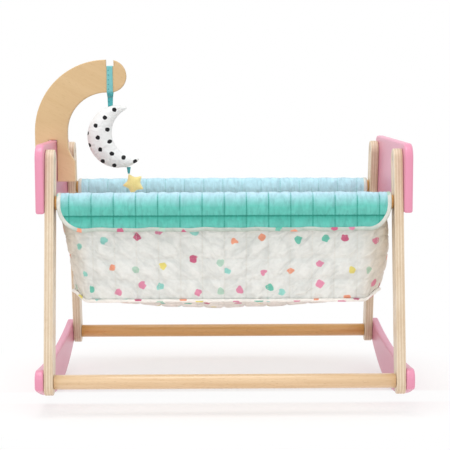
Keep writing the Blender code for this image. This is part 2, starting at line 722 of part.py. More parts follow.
def edge_drop(x, half, low, corner):
    """Lower edge of a flap with rounded lower corners, below the rail's axis."""
    inset = corner - (half - abs(x))
    if inset <= 0:
        return -low
    return corner - low - math.sqrt(max(corner ** 2 - inset ** 2, 0))


def cuff_section(crown, drop):
    """Outline of the cuff round the rail, as (outward, up) from its axis. The
    skin leaves the round along its tangent to the tunnel's stitched seam."""
    radius = seam_radius + QUILT_PUFF * crown
    to_seam = math.atan2(-STITCH_DROP, flap_back) + math.tau
    leave = to_seam - math.acos(radius / math.hypot(STITCH_DROP, flap_back))
    section = arc((0, 0), radius, leave, CUFF_BROW, CUFF_STEPS)
    section += [(radius - STITCH_GROOVE * crown, -STITCH_DROP),
                (radius, (drop - STITCH_DROP) / 2),
                (radius, drop), (flap_back, drop), (flap_back, -STITCH_DROP)]
    return section


def rail_ring(section, x, face):
    return [Vector((x, face * (upper_rail_y + out), upper_rail_z + up)) for out, up in section]


def sleeve(name, stations, look, face, parent):
    """A cuff skin through the stations, with the rail's tunnel through it."""
    bm = bmesh.new()
    rows = loft(bm, [rail_ring(cuff_section(crown, drop), x, face) for x, crown, drop in stations],
                capped=False)
    bore = (RAIL_RADIUS + TUNNEL_CLEARANCE) / math.cos(math.pi / TUNNEL_SIDES)
    circle = arc((0, 0), bore, 0, math.tau * (TUNNEL_SIDES - 1) / TUNNEL_SIDES, TUNNEL_SIDES - 1)
    tunnel = loft(bm, [rail_ring(circle, stations[0][0], face),
                       rail_ring(circle, stations[-1][0], face)], capped=False)
    for end in (0, -1):
        rims = [edge for ring in (rows[end], tunnel[end])
                for edge in {e for vert in ring for e in vert.link_edges
                             if e.other_vert(vert) in ring}]
        bmesh.ops.triangle_fill(bm, use_beauty=True, use_dissolve=False, edges=rims)
    add_object(name, bm, look, parent)


def cuff(name, face, parent):
    """Teal quilted sleeve round a rail, with a flap that hangs outside."""
    half = lining_half - GAP
    low = FLAP_DROP - BAND_WIDTH
    stations = [(x, crown, edge_drop(x, lining_half, low, hem_corner) + GAP)
                for x, crown in channel_stations(half)]
    sleeve(name, stations, teal_cotton(), face, parent)


def end_band(name, side, face, parent):
    """Printed binding round the cuff's end."""
    corner = hem_corner + BAND_WIDTH
    stations = []
    for x in (cuff_half, cuff_half - BAND_WIDTH / 3, lining_half):
        stations.append((side * x, 0, edge_drop(x, cuff_half, FLAP_DROP, corner)))
    sleeve(name, stations, white_cotton(), face, parent)


def hem(name, face, parent):
    """Printed binding along the flap's lower edge and up its round corners."""
    corner = hem_corner + BAND_WIDTH
    half = lining_half - GAP
    turns = [math.pi / 2 * i / HEM_STEPS for i in range(HEM_STEPS + 1)]
    ends = [half - hem_corner * (1 - math.cos(turn)) for turn in turns]
    positions = [-x for x in ends] + list(reversed(ends))
    outer, inner = [], []
    for x in positions:
        low = edge_drop(x, cuff_half, FLAP_DROP, corner)
        high = edge_drop(x, lining_half, FLAP_DROP - BAND_WIDTH, hem_corner)
        outer.append(rail_ring([(seam_radius, low), (seam_radius, high)], x, face))
        inner.append(rail_ring([(flap_back, low), (flap_back, high)], x, face))
    bm = bmesh.new()
    sheet_solid(bm, outer, inner)
    add_object(name, bm, white_cotton(), parent)


def wall_x(z):
    """Outer half length of the basket at height z."""
    return wall_half - WALL_TAPER * (wall_top - z) / (wall_top - wall_foot)


def wall_y(z):
    """Outer half depth of the basket at height z, at its seams."""
    return wall_top_y - WALL_LEAN * (wall_top - z) / (wall_top - wall_foot)


def corner_lift(from_end, from_side):
    """How far the bottom seam rises near the basket's corners."""
    end = max(0, 1 - from_end / CORNER_REACH)
    side = max(0, 1 - from_side / CORNER_REACH)
    return CORNER_RISE * end ** 2 * side ** 2


def long_wall(name, face, parent):
    """Quilted front or rear wall: channels across, and rows of seams."""
    columns = [(x / wall_half, crown) for x, crown in channel_stations(wall_half)]
    rows = 2 * WALL_ROWS
    outer, inner = [], []
    for row in range(rows + 1):
        crown_z = row % 2
        outer_row, inner_row = [], []
        for share, crown_x in columns:
            foot = wall_foot + corner_lift(wall_half * (1 - abs(share)), 0)
            z = foot + (wall_top - foot) * row / rows
            x = share * wall_x(z)
            puff = QUILT_PUFF * crown_x * crown_z
            outer_row.append(Vector((x, face * (wall_y(z) + puff), z)))
            inner_row.append(Vector((x, face * (wall_y(z) - WALL_THICKNESS), z)))
        outer.append(outer_row)
        inner.append(inner_row)
    bm = bmesh.new()
    sheet_solid(bm, outer, inner)
    add_object(name, bm, white_cotton(), parent)


def end_wall(name, side, parent):
    """Quilted end wall between the long walls; its upper edge is hollow."""
    cells = max(1, round(2 * wall_top_y / QUILT_PITCH))
    outer, inner = [], []
    for row in range(2 * WALL_ROWS + 1):
        outer_row, inner_row = [], []
        for column in range(2 * cells + 1):
            share = column / cells - 1
            foot = wall_foot + corner_lift(0, wall_top_y * (1 - abs(share)))
            top = wall_top - END_DIP * (1 - share ** 2)
            z = foot + (top - foot) * row / (2 * WALL_ROWS)
            y = share * (wall_y(z) - WALL_THICKNESS - GAP)
            x = wall_x(z) - QUILT_PUFF + QUILT_PUFF * (row % 2) * (column % 2)
            outer_row.append(Vector((side * x, y, z)))
            inner_row.append(Vector((side * (x - WALL_THICKNESS), y, z)))
        outer.append(outer_row)
        inner.append(inner_row)
    bm = bmesh.new()
    sheet_solid(bm, outer, inner)
    add_object(name, bm, white_cotton(), parent)


def basket_bottom(parent):
    """The padded bottom between the walls' feet, sagging in the middle."""
    half_x = wall_x(wall_foot) - QUILT_PUFF - WALL_THICKNESS - GAP
    half_y = wall_y(wall_foot) - WALL_THICKNESS - GAP
    lower, upper = [], []
    for column in range(BOTTOM_COLUMNS + 1):
        share_x = math.sin(math.pi * column / BOTTOM_COLUMNS - math.pi / 2)
        lower_row, upper_row = [], []
        for row in range(BOTTOM_ROWS + 1):
            share_y = math.sin(math.pi * row / BOTTOM_ROWS - math.pi / 2)
            x = half_x * share_x
            y = half_y * share_y
            lift = corner_lift(half_x - abs(x), half_y - abs(y))
            sag = BOTTOM_SAG * (1 - abs(share_x) ** 3) * (1 - share_y ** 2)
            z = wall_foot + lift - sag
            upper_row.append(Vector((x, y, z + WALL_THICKNESS)))
            lower_row.append(Vector((x, y, z)))
        lower.append(lower_row)
        upper.append(upper_row)
    bm = bmesh.new()
    sheet_solid(bm, lower, upper)
    add_object("basket_bottom", bm, white_cotton(), parent)


def bottom_piping(parent):
    """A round cord along the bottom seam, all the way round the basket."""
    radius = PIPING_DIAMETER / 2
    out = radius + PIPING_STANDOFF
    half_x = wall_x(wall_foot)
    half_y = wall_y(wall_foot)
    turns = [math.pi * i / BOTTOM_COLUMNS - math.pi / 2 for i in range(BOTTOM_COLUMNS + 1)]
    route = []
    for side in (-1, 1):
        shares = [-side * math.sin(turn) for turn in turns]
        for share in shares:
            z = wall_foot + corner_lift(half_x * (1 - abs(share)), 0)
            route.append((share * (wall_x(z) + out), side * (wall_y(z) + out), z))
        for share in shares[1:-1]:
            z = wall_foot + corner_lift(0, half_y * (1 - abs(share)))
            route.append((-side * (wall_x(z) + out), share * (wall_y(z) + out), z))
    curve = bpy.data.curves.new("bottom_piping", "CURVE")
    curve.dimensions = "3D"
    curve.bevel_depth = radius
    curve.bevel_resolution = 1
    spline = curve.splines.new("POLY")
    spline.points.add(len(route) - 1)
    for point, place in zip(spline.points, route):
        point.co = (*place, 1)
    spline.use_cyclic_u = True
    curve.materials.append(white_cotton())
    link("bottom_piping", curve, parent)


# The whole bed

def build_bed():
    clear_scene()
    bed = link("bed_middle", None, None, (bed_x, 0, 0))
    lift = link("arm_lift_axis", None, bed)
    moon_pivot = link("moon_pivot", None, lift, (0, 0, moon_pivot_z))
    star_pivot = link("star_pivot", None, moon_pivot, (0, 0, star_pivot_z - moon_pivot_z))
    sides = (("left", -1), ("right", 1))
    faces = (("front", -1), ("rear", 1))
    for side_name, side in sides:
        end_plate("end_plate_" + side_name, side, bed)
        rocker("rocker_" + side_name, side, bed)
        end_wall("basket_end_" + side_name, side, bed)
        for face_name, face in faces:
            leg("leg_" + face_name + "_" + side_name, side, face, bed)
            end_band("cuff_band_" + face_name + "_" + side_name, side, face, bed)
    for face_name, face in faces:
        rail("lower_rail_" + face_name, face * lower_rail_y, lower_rail_z, bed)
        rail("upper_rail_" + face_name, face * upper_rail_y, upper_rail_z, bed)
        cuff("cuff_" + face_name, face, bed)
        hem("cuff_hem_" + face_name, face, bed)
        long_wall("basket_" + face_name, face, bed)
    basket_bottom(bed)
    bottom_piping(bed)
    fasteners(sides, faces, bed)
    mobile_arm(lift)
    strap_loop(lift)
    strap_tail(moon_pivot)
    moon(moon_pivot)
    star_loop(star_pivot)
    star(star_pivot)


build_bed()
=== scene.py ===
# %% [markdown]
# # A doll's rocking bed
#
# The bed has two A-shaped ends of layered board, pink end boards and rockers,
# four round rails, a quilted basket that hangs on the upper rails, and a bowed
# arm that carries a plush moon and a star. The measured solids come in first as
# a fixed frame. Every piece made here takes the place of one or more of them and
# moves with its body, so this file only decides how the bed looks.

# %% Load the measured frame
import math

import bmesh
import bpy
import numpy as np
from mathutils import Matrix, Vector


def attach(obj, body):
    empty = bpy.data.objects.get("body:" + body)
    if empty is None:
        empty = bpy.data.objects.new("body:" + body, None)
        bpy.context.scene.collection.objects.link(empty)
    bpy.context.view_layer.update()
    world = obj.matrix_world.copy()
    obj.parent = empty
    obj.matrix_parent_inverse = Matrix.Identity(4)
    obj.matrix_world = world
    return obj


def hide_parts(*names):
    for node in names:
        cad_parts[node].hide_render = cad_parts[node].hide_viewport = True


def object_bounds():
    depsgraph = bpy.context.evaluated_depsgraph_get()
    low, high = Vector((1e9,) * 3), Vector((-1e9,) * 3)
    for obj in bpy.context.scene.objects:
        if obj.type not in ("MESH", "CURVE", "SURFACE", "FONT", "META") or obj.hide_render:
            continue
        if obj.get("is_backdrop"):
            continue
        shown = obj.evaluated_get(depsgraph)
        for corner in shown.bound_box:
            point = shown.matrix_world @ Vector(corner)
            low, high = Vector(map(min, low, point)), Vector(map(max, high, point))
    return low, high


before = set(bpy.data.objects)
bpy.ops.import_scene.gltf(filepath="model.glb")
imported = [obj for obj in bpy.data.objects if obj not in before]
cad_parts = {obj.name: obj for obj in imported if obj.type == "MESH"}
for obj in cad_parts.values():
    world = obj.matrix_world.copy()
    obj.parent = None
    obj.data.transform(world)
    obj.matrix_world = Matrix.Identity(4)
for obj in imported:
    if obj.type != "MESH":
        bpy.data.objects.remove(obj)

scene = bpy.context.scene
cad_box = [list(corner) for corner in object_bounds()]

# %% [markdown]
# ## The camera
#
# The photograph was taken from a little above the basket, almost square to the
# front and from nearly two metres away, which flattens the depth. A camera could
# be placed by eye until the outlines agree. Here its place, its turn and its lens
# come from a fit of points on the legs, rails and boards, so that every edge
# falls where it does in the photograph.

# %% The photograph's camera
SENSOR_WIDTH_MM = 36.0
CAMERA_PLACE = (-0.0038, -1.919, 0.4675)
CAMERA_DOWN = math.radians(6.362)
CAMERA_TURN = math.radians(-0.502)
CAMERA_ROLL = math.radians(-0.175)
CAMERA_LENS_MM = 98.63

camera_data = bpy.data.cameras.new("camera")
camera_data.sensor_width = SENSOR_WIDTH_MM
camera_data.lens = CAMERA_LENS_MM
camera = bpy.data.objects.new("camera", camera_data)
scene.collection.objects.link(camera)
camera.matrix_world = (
    Matrix.Translation(CAMERA_PLACE)
    @ Matrix.Rotation(CAMERA_TURN, 4, "Z")
    @ Matrix.Rotation(math.pi / 2 - CAMERA_DOWN, 4, "X")
    @ Matrix.Rotation(CAMERA_ROLL, 4, "Z")
)
scene.camera = camera
print("camera at", tuple(round(v, 3) for v in camera.location))

# %% [markdown]
# ## Making and wiring shader nodes
#
# Every finish here is procedural, so many nodes get wired. They could be drawn
# by hand in the shader editor, but a script keeps the numbers readable and makes
# the same finish each time. One short helper makes a node, sets its values and
# links its inputs in one call. A value that is itself a socket becomes a link.

# %% Helpers for shader nodes
SOCKET_KINDS = {"COLOR": "NodeSocketColor", "VALUE": "NodeSocketFloat", "VECTOR": "NodeSocketVector"}


def put(tree, socket, value):
    """Link a socket to another socket, or give it a plain value."""
    if isinstance(value, bpy.types.NodeSocket):
        tree.links.new(value, socket)
    else:
        socket.default_value = value


def add(tree, kind, *inputs, **values):
    """Make a node. Positional values go to its inputs in order. A keyword in
    small letters is a setting, any other names an input. None is left out."""
    made = tree.nodes.new("ShaderNode" + kind)
    for name, value in values.items():
        if name.islower():
            setattr(made, name, value)
    for socket, value in zip(made.inputs, inputs):
        if value is not None:
            put(tree, socket, value)
    for name, value in values.items():
        if not name.islower() and value is not None:
            put(tree, made.inputs[name.replace("_", " ")], value)
    return made


def sums(tree, operation, *inputs):
    """The result of one arithmetic node."""
    return add(tree, "Math", *inputs, operation=operation).outputs[0]


def vectors(tree, operation, *inputs, **values):
    """The outputs of one vector node."""
    return add(tree, "VectorMath", *inputs, operation=operation, **values).outputs


def ranged(tree, value, low, high, to_low=0.0, to_high=1.0):
    """A value read between two limits and held inside them."""
    return add(tree, "MapRange", value, low, high, to_low, to_high).outputs[0]


def blend_colour(tree, share, first, second, how="MIX"):
    """Two colours mixed by a share from 0 to 1."""
    made = tree.nodes.new("ShaderNodeMix")
    made.data_type = "RGBA"
    made.blend_type = how
    for number, value in ((0, share), (6, first), (7, second)):
        put(tree, made.inputs[number], value)
    return made.outputs[2]


def tint(tree, colour, shade):
    """A colour times a shade."""
    return blend_colour(tree, 1.0, colour, shade, "MULTIPLY")


def noise(tree, vector, scale, detail, distortion=0.0):
    """Smooth noise from 0 to 1, with about scale features a metre."""
    return add(tree, "TexNoise", vector, Scale=scale, Detail=detail, Distortion=distortion).outputs[0]


def parts_of(tree, vector):
    """The X, Y and Z of a vector."""
    return add(tree, "SeparateXYZ", vector).outputs


def on_bed(tree):
    """A point's place on the whole bed, in metres."""
    return add(tree, "TexCoord").outputs["Object"]


def relief(tree, height, strength, depth, under=None):
    """A normal bent by a height; under is a coarser relief that lies below."""
    return add(tree, "Bump", Strength=strength, Distance=depth, Height=height, Normal=under).outputs[0]


print("node helpers ready for", ", ".join(SOCKET_KINDS).lower(), "sockets")

# %% [markdown]
# An effect that several finishes share becomes a node group with named inputs
# and outputs. It could be copied into each material, but then a change would
# have to be made in every copy. These helpers make a group, place it, and start
# and finish a material.

# %% Helpers for groups and materials


def new_group(name, inputs, outputs):
    """A node group with the named inputs and outputs, its tree, and the
    sockets that bring values in and take them out."""
    tree = bpy.data.node_groups.new(name, "ShaderNodeTree")
    for label, kind, default in inputs:
        made = tree.interface.new_socket(label, in_out="INPUT", socket_type=SOCKET_KINDS[kind])
        if default is not None:
            made.default_value = default
    for label, kind in outputs:
        tree.interface.new_socket(label, in_out="OUTPUT", socket_type=SOCKET_KINDS[kind])
    return tree, tree.nodes.new("NodeGroupInput").outputs, tree.nodes.new("NodeGroupOutput").inputs


def place_group(tree, group, **values):
    """A group placed in a material with its own values; returns its outputs."""
    made = tree.nodes.new("ShaderNodeGroup")
    made.node_tree = group
    for name, value in values.items():
        put(tree, made.inputs[name.replace("_", " ")], value)
    return made.outputs


def new_material(name, **sockets):
    """A material and its Principled shader, with plain values on its sockets."""
    look = bpy.data.materials.new(name)
    look.use_nodes = True
    shader = look.node_tree.nodes["Principled BSDF"]
    for label, value in sockets.items():
        shader.inputs[label.replace("_", " ")].default_value = value
    return look, look.node_tree, shader


def finish(tree, shader, **sockets):
    """Link what changes over the surface into the shader."""
    for label, value in sockets.items():
        tree.links.new(value, shader.inputs[label.replace("_", " ")])


WHITE = (1.0, 1.0, 1.0, 1.0)
print("group and material helpers ready")

# %% [markdown]
# ## Light, floor and background
#
# The photograph is a plain product shot: a soft light from above and in front,
# a white ground and hardly any shadow. A picture of a studio wrapped round the
# world could give that too, but lamps are easier to weigh against each other. So
# an even sky does most of the work, and three large lamps shape it: one above,
# one in front, and a weak one near the ground.

# %% Sky and lamps
SKY_LEVEL = 0.91
LAMPS = (("lamp_above", (-0.25, -0.35, 2.3), (0.0, 0.0, 0.2), 1.1, 17.5),
         ("lamp_front", (-0.8, -2.6, 1.2), (0.0, 0.0, 0.25), 1.6, 4.5),
         ("lamp_low", (0.1, -1.7, 0.12), (0.0, 0.0, 0.22), 1.2, 2.5))


def seen_directly(tree):
    """1 where the camera looks, also in a gloss or through glass, else 0."""
    path = add(tree, "LightPath").outputs
    seen = sums(tree, "MAXIMUM", path["Is Camera Ray"], path["Is Glossy Ray"])
    return sums(tree, "MAXIMUM", seen, path["Is Transmission Ray"])


def soft_lamp(name, place, aim, size, watts):
    """A square lamp at a place, turned to face another."""
    data = bpy.data.lights.new(name, "AREA")
    data.shape = "SQUARE"
    data.size = size
    data.energy = watts
    lamp = bpy.data.objects.new(name, data)
    scene.collection.objects.link(lamp)
    turn = (Vector(place) - Vector(aim)).to_track_quat("Z", "Y")
    lamp.matrix_world = Matrix.Translation(place) @ turn.to_matrix().to_4x4()


world = bpy.data.worlds.new("studio")
scene.world = world
world.use_nodes = True
sky = world.node_tree.nodes["Background"]
sky.inputs["Color"].default_value = WHITE
level = ranged(world.node_tree, seen_directly(world.node_tree), 0.0, 1.0, SKY_LEVEL, 1.0)
world.node_tree.links.new(level, sky.inputs["Strength"])
for lamp in LAMPS:
    soft_lamp(*lamp)

# %% [markdown]
# The floor is pale and keeps the bed's shadow. Near the bed a share of plain
# white lightens that shadow, further out it is all plain white, and a strip
# between the front rail and the basket's shadow is plain white too: painted
# light over the shadow. It shows only as the camera sees it, directly or in a
# gloss, so it lights nothing. A backdrop lit until it burns out would do the
# same, but it would spill light on the bed.

# %% Floor
FLOOR_HALF = 6.0
FLOOR_LIGHT, FLOOR_DARK = (0.95, 0.905, 0.895, 1), (0.94, 0.895, 0.88, 1)
FLOOR_REACH = (0.85, 1.3, 1.0)
SHADE_END, WHITE_START = 0.24, 0.46
NEAR_WHITE, STRIP_WHITE = 0.55, 0.93
STRIP_Y, STRIP_HALF, STRIP_FADED = -0.085, 0.030, 0.062

floor_look, tree, shader = new_material("floor", Roughness=0.9)
shader.inputs["Specular IOR Level"].default_value = 0.0
place = on_bed(tree)
mottle = noise(tree, place, 1.3, 1.0)
finish(tree, shader, Base_Color=blend_colour(tree, mottle, FLOOR_LIGHT, FLOOR_DARK))
away = vectors(tree, "LENGTH", vectors(tree, "MULTIPLY", place, FLOOR_REACH)[0])["Value"]
# Painted light: near the bed a share of plain white lightens the floor's shadow.
far = ranged(tree, away, SHADE_END, WHITE_START, NEAR_WHITE, 1.0)
# Painted light: a strip of plain white hides the shadow in front of the rail.
from_strip = sums(tree, "ABSOLUTE", sums(tree, "SUBTRACT", parts_of(tree, place)["Y"], STRIP_Y))
painted_light_strip = ranged(tree, from_strip, STRIP_FADED, STRIP_HALF, 0.0, STRIP_WHITE)
plain = sums(tree, "MAXIMUM", far, painted_light_strip)
glow = add(tree, "Emission", WHITE, 1.0).outputs[0]
lit = tree.nodes.new("ShaderNodeMixShader")
tree.links.new(sums(tree, "MULTIPLY", plain, seen_directly(tree)), lit.inputs[0])
tree.links.new(shader.outputs[0], lit.inputs[1])
tree.links.new(glow, lit.inputs[2])
tree.links.new(lit.outputs[0], tree.nodes["Material Output"].inputs["Surface"])

floor_mesh = bpy.data.meshes.new("floor")
corners = np.array([(-1, -1, 0), (1, -1, 0), (1, 1, 0), (-1, 1, 0)]) * FLOOR_HALF
floor_mesh.from_pydata(corners.tolist(), [], [(0, 1, 2, 3)])
floor_mesh.materials.append(floor_look)
floor = bpy.data.objects.new("floor", floor_mesh)
scene.collection.objects.link(floor)
floor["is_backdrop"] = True
scene.view_settings.view_transform = "Standard"
print("floor is", 2 * FLOOR_HALF, "m wide")

# %% [markdown]
# ## Surfaces from grids of points
#
# Each new piece is a surface worked out with numpy as a grid of points, rows by
# columns. Blender's own primitives and modifiers could make many of them, but a
# formula says plainly what a shape is and gives each point its place on the flat
# cloth. One function turns a grid into a mesh, joins the last row or column to
# the first where the surface runs round, closes its two ends, and unrolls it
# into a UV map measured in metres, so that a weave or a print keeps its scale.
# All lengths are written from the bed's middle; one shift moves every piece to
# where the frame has it.

# %% From a grid to a mesh
BED_MIDDLE = np.array((0.0107, 0.0, 0.0))
SHARP_ANGLE, SOFT_ANGLE = math.radians(50), math.radians(150)


def quads(rows, columns, wrap):
    """Corner numbers of a grid's quads, first with wrapped rows and columns
    folded onto the first ones, then with them written out for the UV map."""
    i = np.arange(rows - (not wrap[0]))[:, None]
    j = np.arange(columns - (not wrap[1]))[None, :]
    around = [(i, j), (i, j + 1), (i + 1, j + 1), (i + 1, j)]
    folded = [(a % rows) * columns + b % columns for a, b in around]
    spread = [a * (columns + wrap[1]) + b for a, b in around]
    return np.stack(folded, -1).reshape(-1, 4), np.stack(spread, -1).reshape(-1, 4)


def run_length(grid, axis, wrapped):
    """Distance run along one axis of a grid, averaged over the other."""
    step = np.linalg.norm(np.roll(grid, -1, axis) - grid, axis=2).mean(1 - axis)
    run = np.concatenate(([0.0], np.cumsum(step)))
    return run if wrapped else run[:-1]


def build(name, points, faces, look, uv=None, sharp=SHARP_ANGLE):
    """A smooth mesh object whose faces point outwards; edges that turn by
    more than the sharp angle stay crisp."""
    mesh = bpy.data.meshes.new(name)
    mesh.from_pydata((points.reshape(-1, 3) + BED_MIDDLE).tolist(), [], faces)
    if uv is not None:
        mesh.uv_layers.new(name="cloth").data.foreach_set("uv", uv.ravel())
    bm = bmesh.new()
    bm.from_mesh(mesh)
    if bm.calc_volume(signed=True) < 0:
        bmesh.ops.reverse_faces(bm, faces=bm.faces)
    bm.to_mesh(mesh)
    bm.free()
    mesh.shade_smooth()
    mesh.set_sharp_from_angle(angle=sharp)
    mesh.materials.append(look)
    made = bpy.data.objects.new(name, mesh)
    scene.collection.objects.link(made)
    return made


def surface(name, grid, look, wrap=(False, False), caps=False, uv=None, sharp=SHARP_ANGLE):
    """Quads over a grid; caps closes the first and the last row with one face
    each. Without a UV grid, u runs along the rows and v across them."""
    rows, columns = grid.shape[:2]
    folded, spread = quads(rows, columns, wrap)
    if uv is None:
        along = run_length(grid, 1, wrap[1])
        across = run_length(grid, 0, wrap[0])
        uv = np.stack(np.meshgrid(along, across), -1)
    corner_uv = uv.reshape(-1, 2)[spread].reshape(-1, 2)
    faces = folded.tolist()
    if caps:
        first, last = np.arange(columns), np.arange(columns) + (rows - 1) * columns
        faces += [first[::-1].tolist(), last.tolist()]
        ends = [uv[0, :columns][::-1], uv[-1, :columns]]
        corner_uv = np.concatenate([corner_uv] + ends)
    return build(name, grid, faces, look, corner_uv, sharp)


def place_on(piece, body, slot, *nodes):
    """The piece moves with a body and stands for its nodes; slot is not used."""
    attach(piece, body)
    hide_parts(*nodes)


print("grids become meshes; the bed's middle is at", BED_MIDDLE[0])

# %% [markdown]
# ## Wood
#
# The legs and the arm are cut from layered board, so their edges show thin
# lines; the rails are solid beech. A picture of wood would repeat and blur from
# close by, so the grain is made of noise. Both woods share it: two noises
# stretched along the fibre, a broad one for colour and a fine one for the
# streaks, with short dark flecks as beech has. The fibre runs along Z of the
# coordinates that the group is given.

# %% Grain and plies as node groups
BROAD, FINE, SHORT = (55, 55, 2.2), (420, 420, 12), (950, 950, 120)

grain_group, ins, outs = new_group(
    "wood_grain",
    [("Vector", "VECTOR", None), ("Light", "COLOR", None), ("Dark", "COLOR", None),
     ("Flecks", "VALUE", 0.4)],
    [("Color", "COLOR"), ("Height", "VALUE"), ("Roughness", "VALUE")])
tree = ins[0].node.id_data


def stretched(tree, vector, scale, detail):
    """Noise drawn out along Z: a scale for each axis, in features a metre."""
    return noise(tree, vectors(tree, "MULTIPLY", vector, scale)[0], 1.0, detail)


bands = stretched(tree, ins["Vector"], BROAD, 2.0)
streaks = stretched(tree, ins["Vector"], FINE, 3.0)
flecks = ranged(tree, stretched(tree, ins["Vector"], SHORT, 1.0), 0.64, 0.70)
share = sums(tree, "ADD", sums(tree, "MULTIPLY", bands, 0.75), sums(tree, "MULTIPLY", streaks, 0.45))
tone = blend_colour(tree, ranged(tree, share, 0.42, 0.80), ins["Light"], ins["Dark"])
fleck_share = sums(tree, "MULTIPLY", flecks, ins["Flecks"])
darker = tint(tree, tone, (0.72, 0.62, 0.50, 1))
tree.links.new(blend_colour(tree, fleck_share, tone, darker), outs["Color"])
tree.links.new(sums(tree, "SUBTRACT", streaks, fleck_share), outs["Height"])
tree.links.new(ranged(tree, streaks, 0.2, 0.8, 0.36, 0.50), outs["Roughness"])

ply_group, ins, outs = new_group(
    "board_plies", [("Across", "VALUE", 0.5), ("Plies", "VALUE", 7.0), ("Waver", "VALUE", 0.0)],
    [("Cross Ply", "VALUE"), ("Glue Line", "VALUE")])
tree = ins[0].node.id_data
inside = ranged(tree, ins["Across"], 0.0, 1.0, 0.035, 0.965)
angle = sums(tree, "MULTIPLY", sums(tree, "ADD", inside, ins["Waver"]),
             sums(tree, "MULTIPLY", ins["Plies"], math.pi))
wave = sums(tree, "SINE", angle)
tree.links.new(ranged(tree, wave, 0.15, -0.15), outs["Cross Ply"])
tree.links.new(ranged(tree, sums(tree, "ABSOLUTE", wave), 0.34, 0.10), outs["Glue Line"])
print("wood groups:", grain_group.name, ply_group.name)

# %% [markdown]
# The groups put out colours and masks only. The shader itself stays in each
# material, with its plain values on its own sockets, because it is there that a
# learner looks for it. In both boards the plies are counted across the
# thickness. The arm's colour carries painted light and shade: it is paler at its
# foot, between the end board and the basket, and deeper up the bow.

# %% Layered board for the legs and the arm
BIRCH_LIGHT, BIRCH_DARK = (0.775, 0.665, 0.515, 1), (0.69, 0.55, 0.39, 1)
ARM_SHADED_BOW_LIGHT, ARM_SHADED_BOW_DARK = (0.65, 0.455, 0.235, 1), (0.605, 0.41, 0.20, 1)
ARM_LIT_FOOT_LIGHT, ARM_LIT_FOOT_DARK = (0.90, 0.655, 0.385, 1), (0.84, 0.595, 0.335, 1)
ARM_PAINTED_LIGHT_Z, ARM_PAINTED_SHADE_Z = 0.335, 0.415
CROSS_PLY, GLUE_LINE = (0.86, 0.82, 0.76, 1), (0.80, 0.72, 0.62, 1)
PLIES = 7.0
LEG_LEAN, ARM_FIBRE = math.radians(10.29), math.radians(62)
LEG_THICKNESS, ARM_THICKNESS = 0.013, 0.012
LEG_INNER_X = 0.2447


def plied_wood(tree, shader, across, fibre, light, dark):
    """Layered board: the grain, darker cross plies and thin glue lines."""
    grain = place_group(tree, grain_group, Vector=fibre, Light=light, Dark=dark, Flecks=0.25)
    waver = ranged(tree, stretched(tree, fibre, (30, 30, 7), 1.0), 0.0, 1.0, -0.018, 0.018)
    plies = place_group(tree, ply_group, Across=across, Plies=PLIES, Waver=waver)
    layered = blend_colour(tree, plies["Cross Ply"], grain["Color"], tint(tree, grain["Color"], CROSS_PLY))
    colour = blend_colour(tree, sums(tree, "MULTIPLY", plies["Glue Line"], 0.75),
                          layered, tint(tree, layered, GLUE_LINE))
    height = sums(tree, "SUBTRACT", grain["Height"], plies["Glue Line"])
    finish(tree, shader, Base_Color=colour, Roughness=grain["Roughness"],
           Normal=relief(tree, height, 0.35, 0.00012))


birch_board, tree, shader = new_material("birch_board", Coat_Weight=0.15, Coat_Roughness=0.25)
parts = parts_of(tree, on_bed(tree))
from_middle = sums(tree, "ABSOLUTE", sums(tree, "SUBTRACT", parts["X"], float(BED_MIDDLE[0])))
leg_share = sums(tree, "DIVIDE", sums(tree, "SUBTRACT", from_middle, LEG_INNER_X), LEG_THICKNESS)
mirrored = add(tree, "CombineXYZ", parts["X"], sums(tree, "ABSOLUTE", parts["Y"]), parts["Z"]).outputs[0]
along_leg = add(tree, "Mapping", mirrored, Rotation=(LEG_LEAN, 0, 0)).outputs[0]
plied_wood(tree, shader, leg_share, along_leg, BIRCH_LIGHT, BIRCH_DARK)

arm_board, tree, shader = new_material("arm_board", Coat_Weight=0.15, Coat_Roughness=0.25)
place = on_bed(tree)
parts = parts_of(tree, place)
arm_share = sums(tree, "ADD", sums(tree, "DIVIDE", parts["Y"], ARM_THICKNESS), 0.5)
fibre = add(tree, "Mapping", place, Rotation=(0, ARM_FIBRE, 0)).outputs[0]
# Painted light and shade: paler towards the foot, deeper up the bow.
height = ranged(tree, parts["Z"], ARM_PAINTED_LIGHT_Z, ARM_PAINTED_SHADE_Z)
plied_wood(tree, shader, arm_share, fibre, blend_colour(tree, height, ARM_LIT_FOOT_LIGHT, ARM_SHADED_BOW_LIGHT),
           blend_colour(tree, height, ARM_LIT_FOOT_DARK, ARM_SHADED_BOW_DARK))
print("board looks:", birch_board.name, arm_board.name)

# %% [markdown]
# A rail is turned from one stick and lacquered, so its grain runs along it under
# a clear coat. The front lower rail is pale beech. The other three take a darker,
# rosier copy of it: painted shade with a warm bounce, for rails that lie in the
# basket's shadow.

# %% Turned beech for the rails
BEECH_LIGHT, BEECH_DARK = (0.78, 0.575, 0.355, 1), (0.655, 0.435, 0.23, 1)
SHADED_BEECH_LIGHT, SHADED_BEECH_DARK = (0.76, 0.42, 0.135, 1), (0.61, 0.30, 0.08, 1)


def turned_beech(name, light, dark):
    """Beech with its fibre along X, as in a rail."""
    look, tree, shader = new_material(name, Coat_Weight=0.9, Coat_Roughness=0.28)
    fibre = add(tree, "Mapping", on_bed(tree), Rotation=(0, math.pi / 2, 0)).outputs[0]
    grain = place_group(tree, grain_group, Vector=fibre, Light=light, Dark=dark, Flecks=0.5)
    finish(tree, shader, Base_Color=grain["Color"], Roughness=grain["Roughness"],
           Normal=relief(tree, grain["Height"], 0.35, 0.00015))
    return look


beech = turned_beech("beech", BEECH_LIGHT, BEECH_DARK)
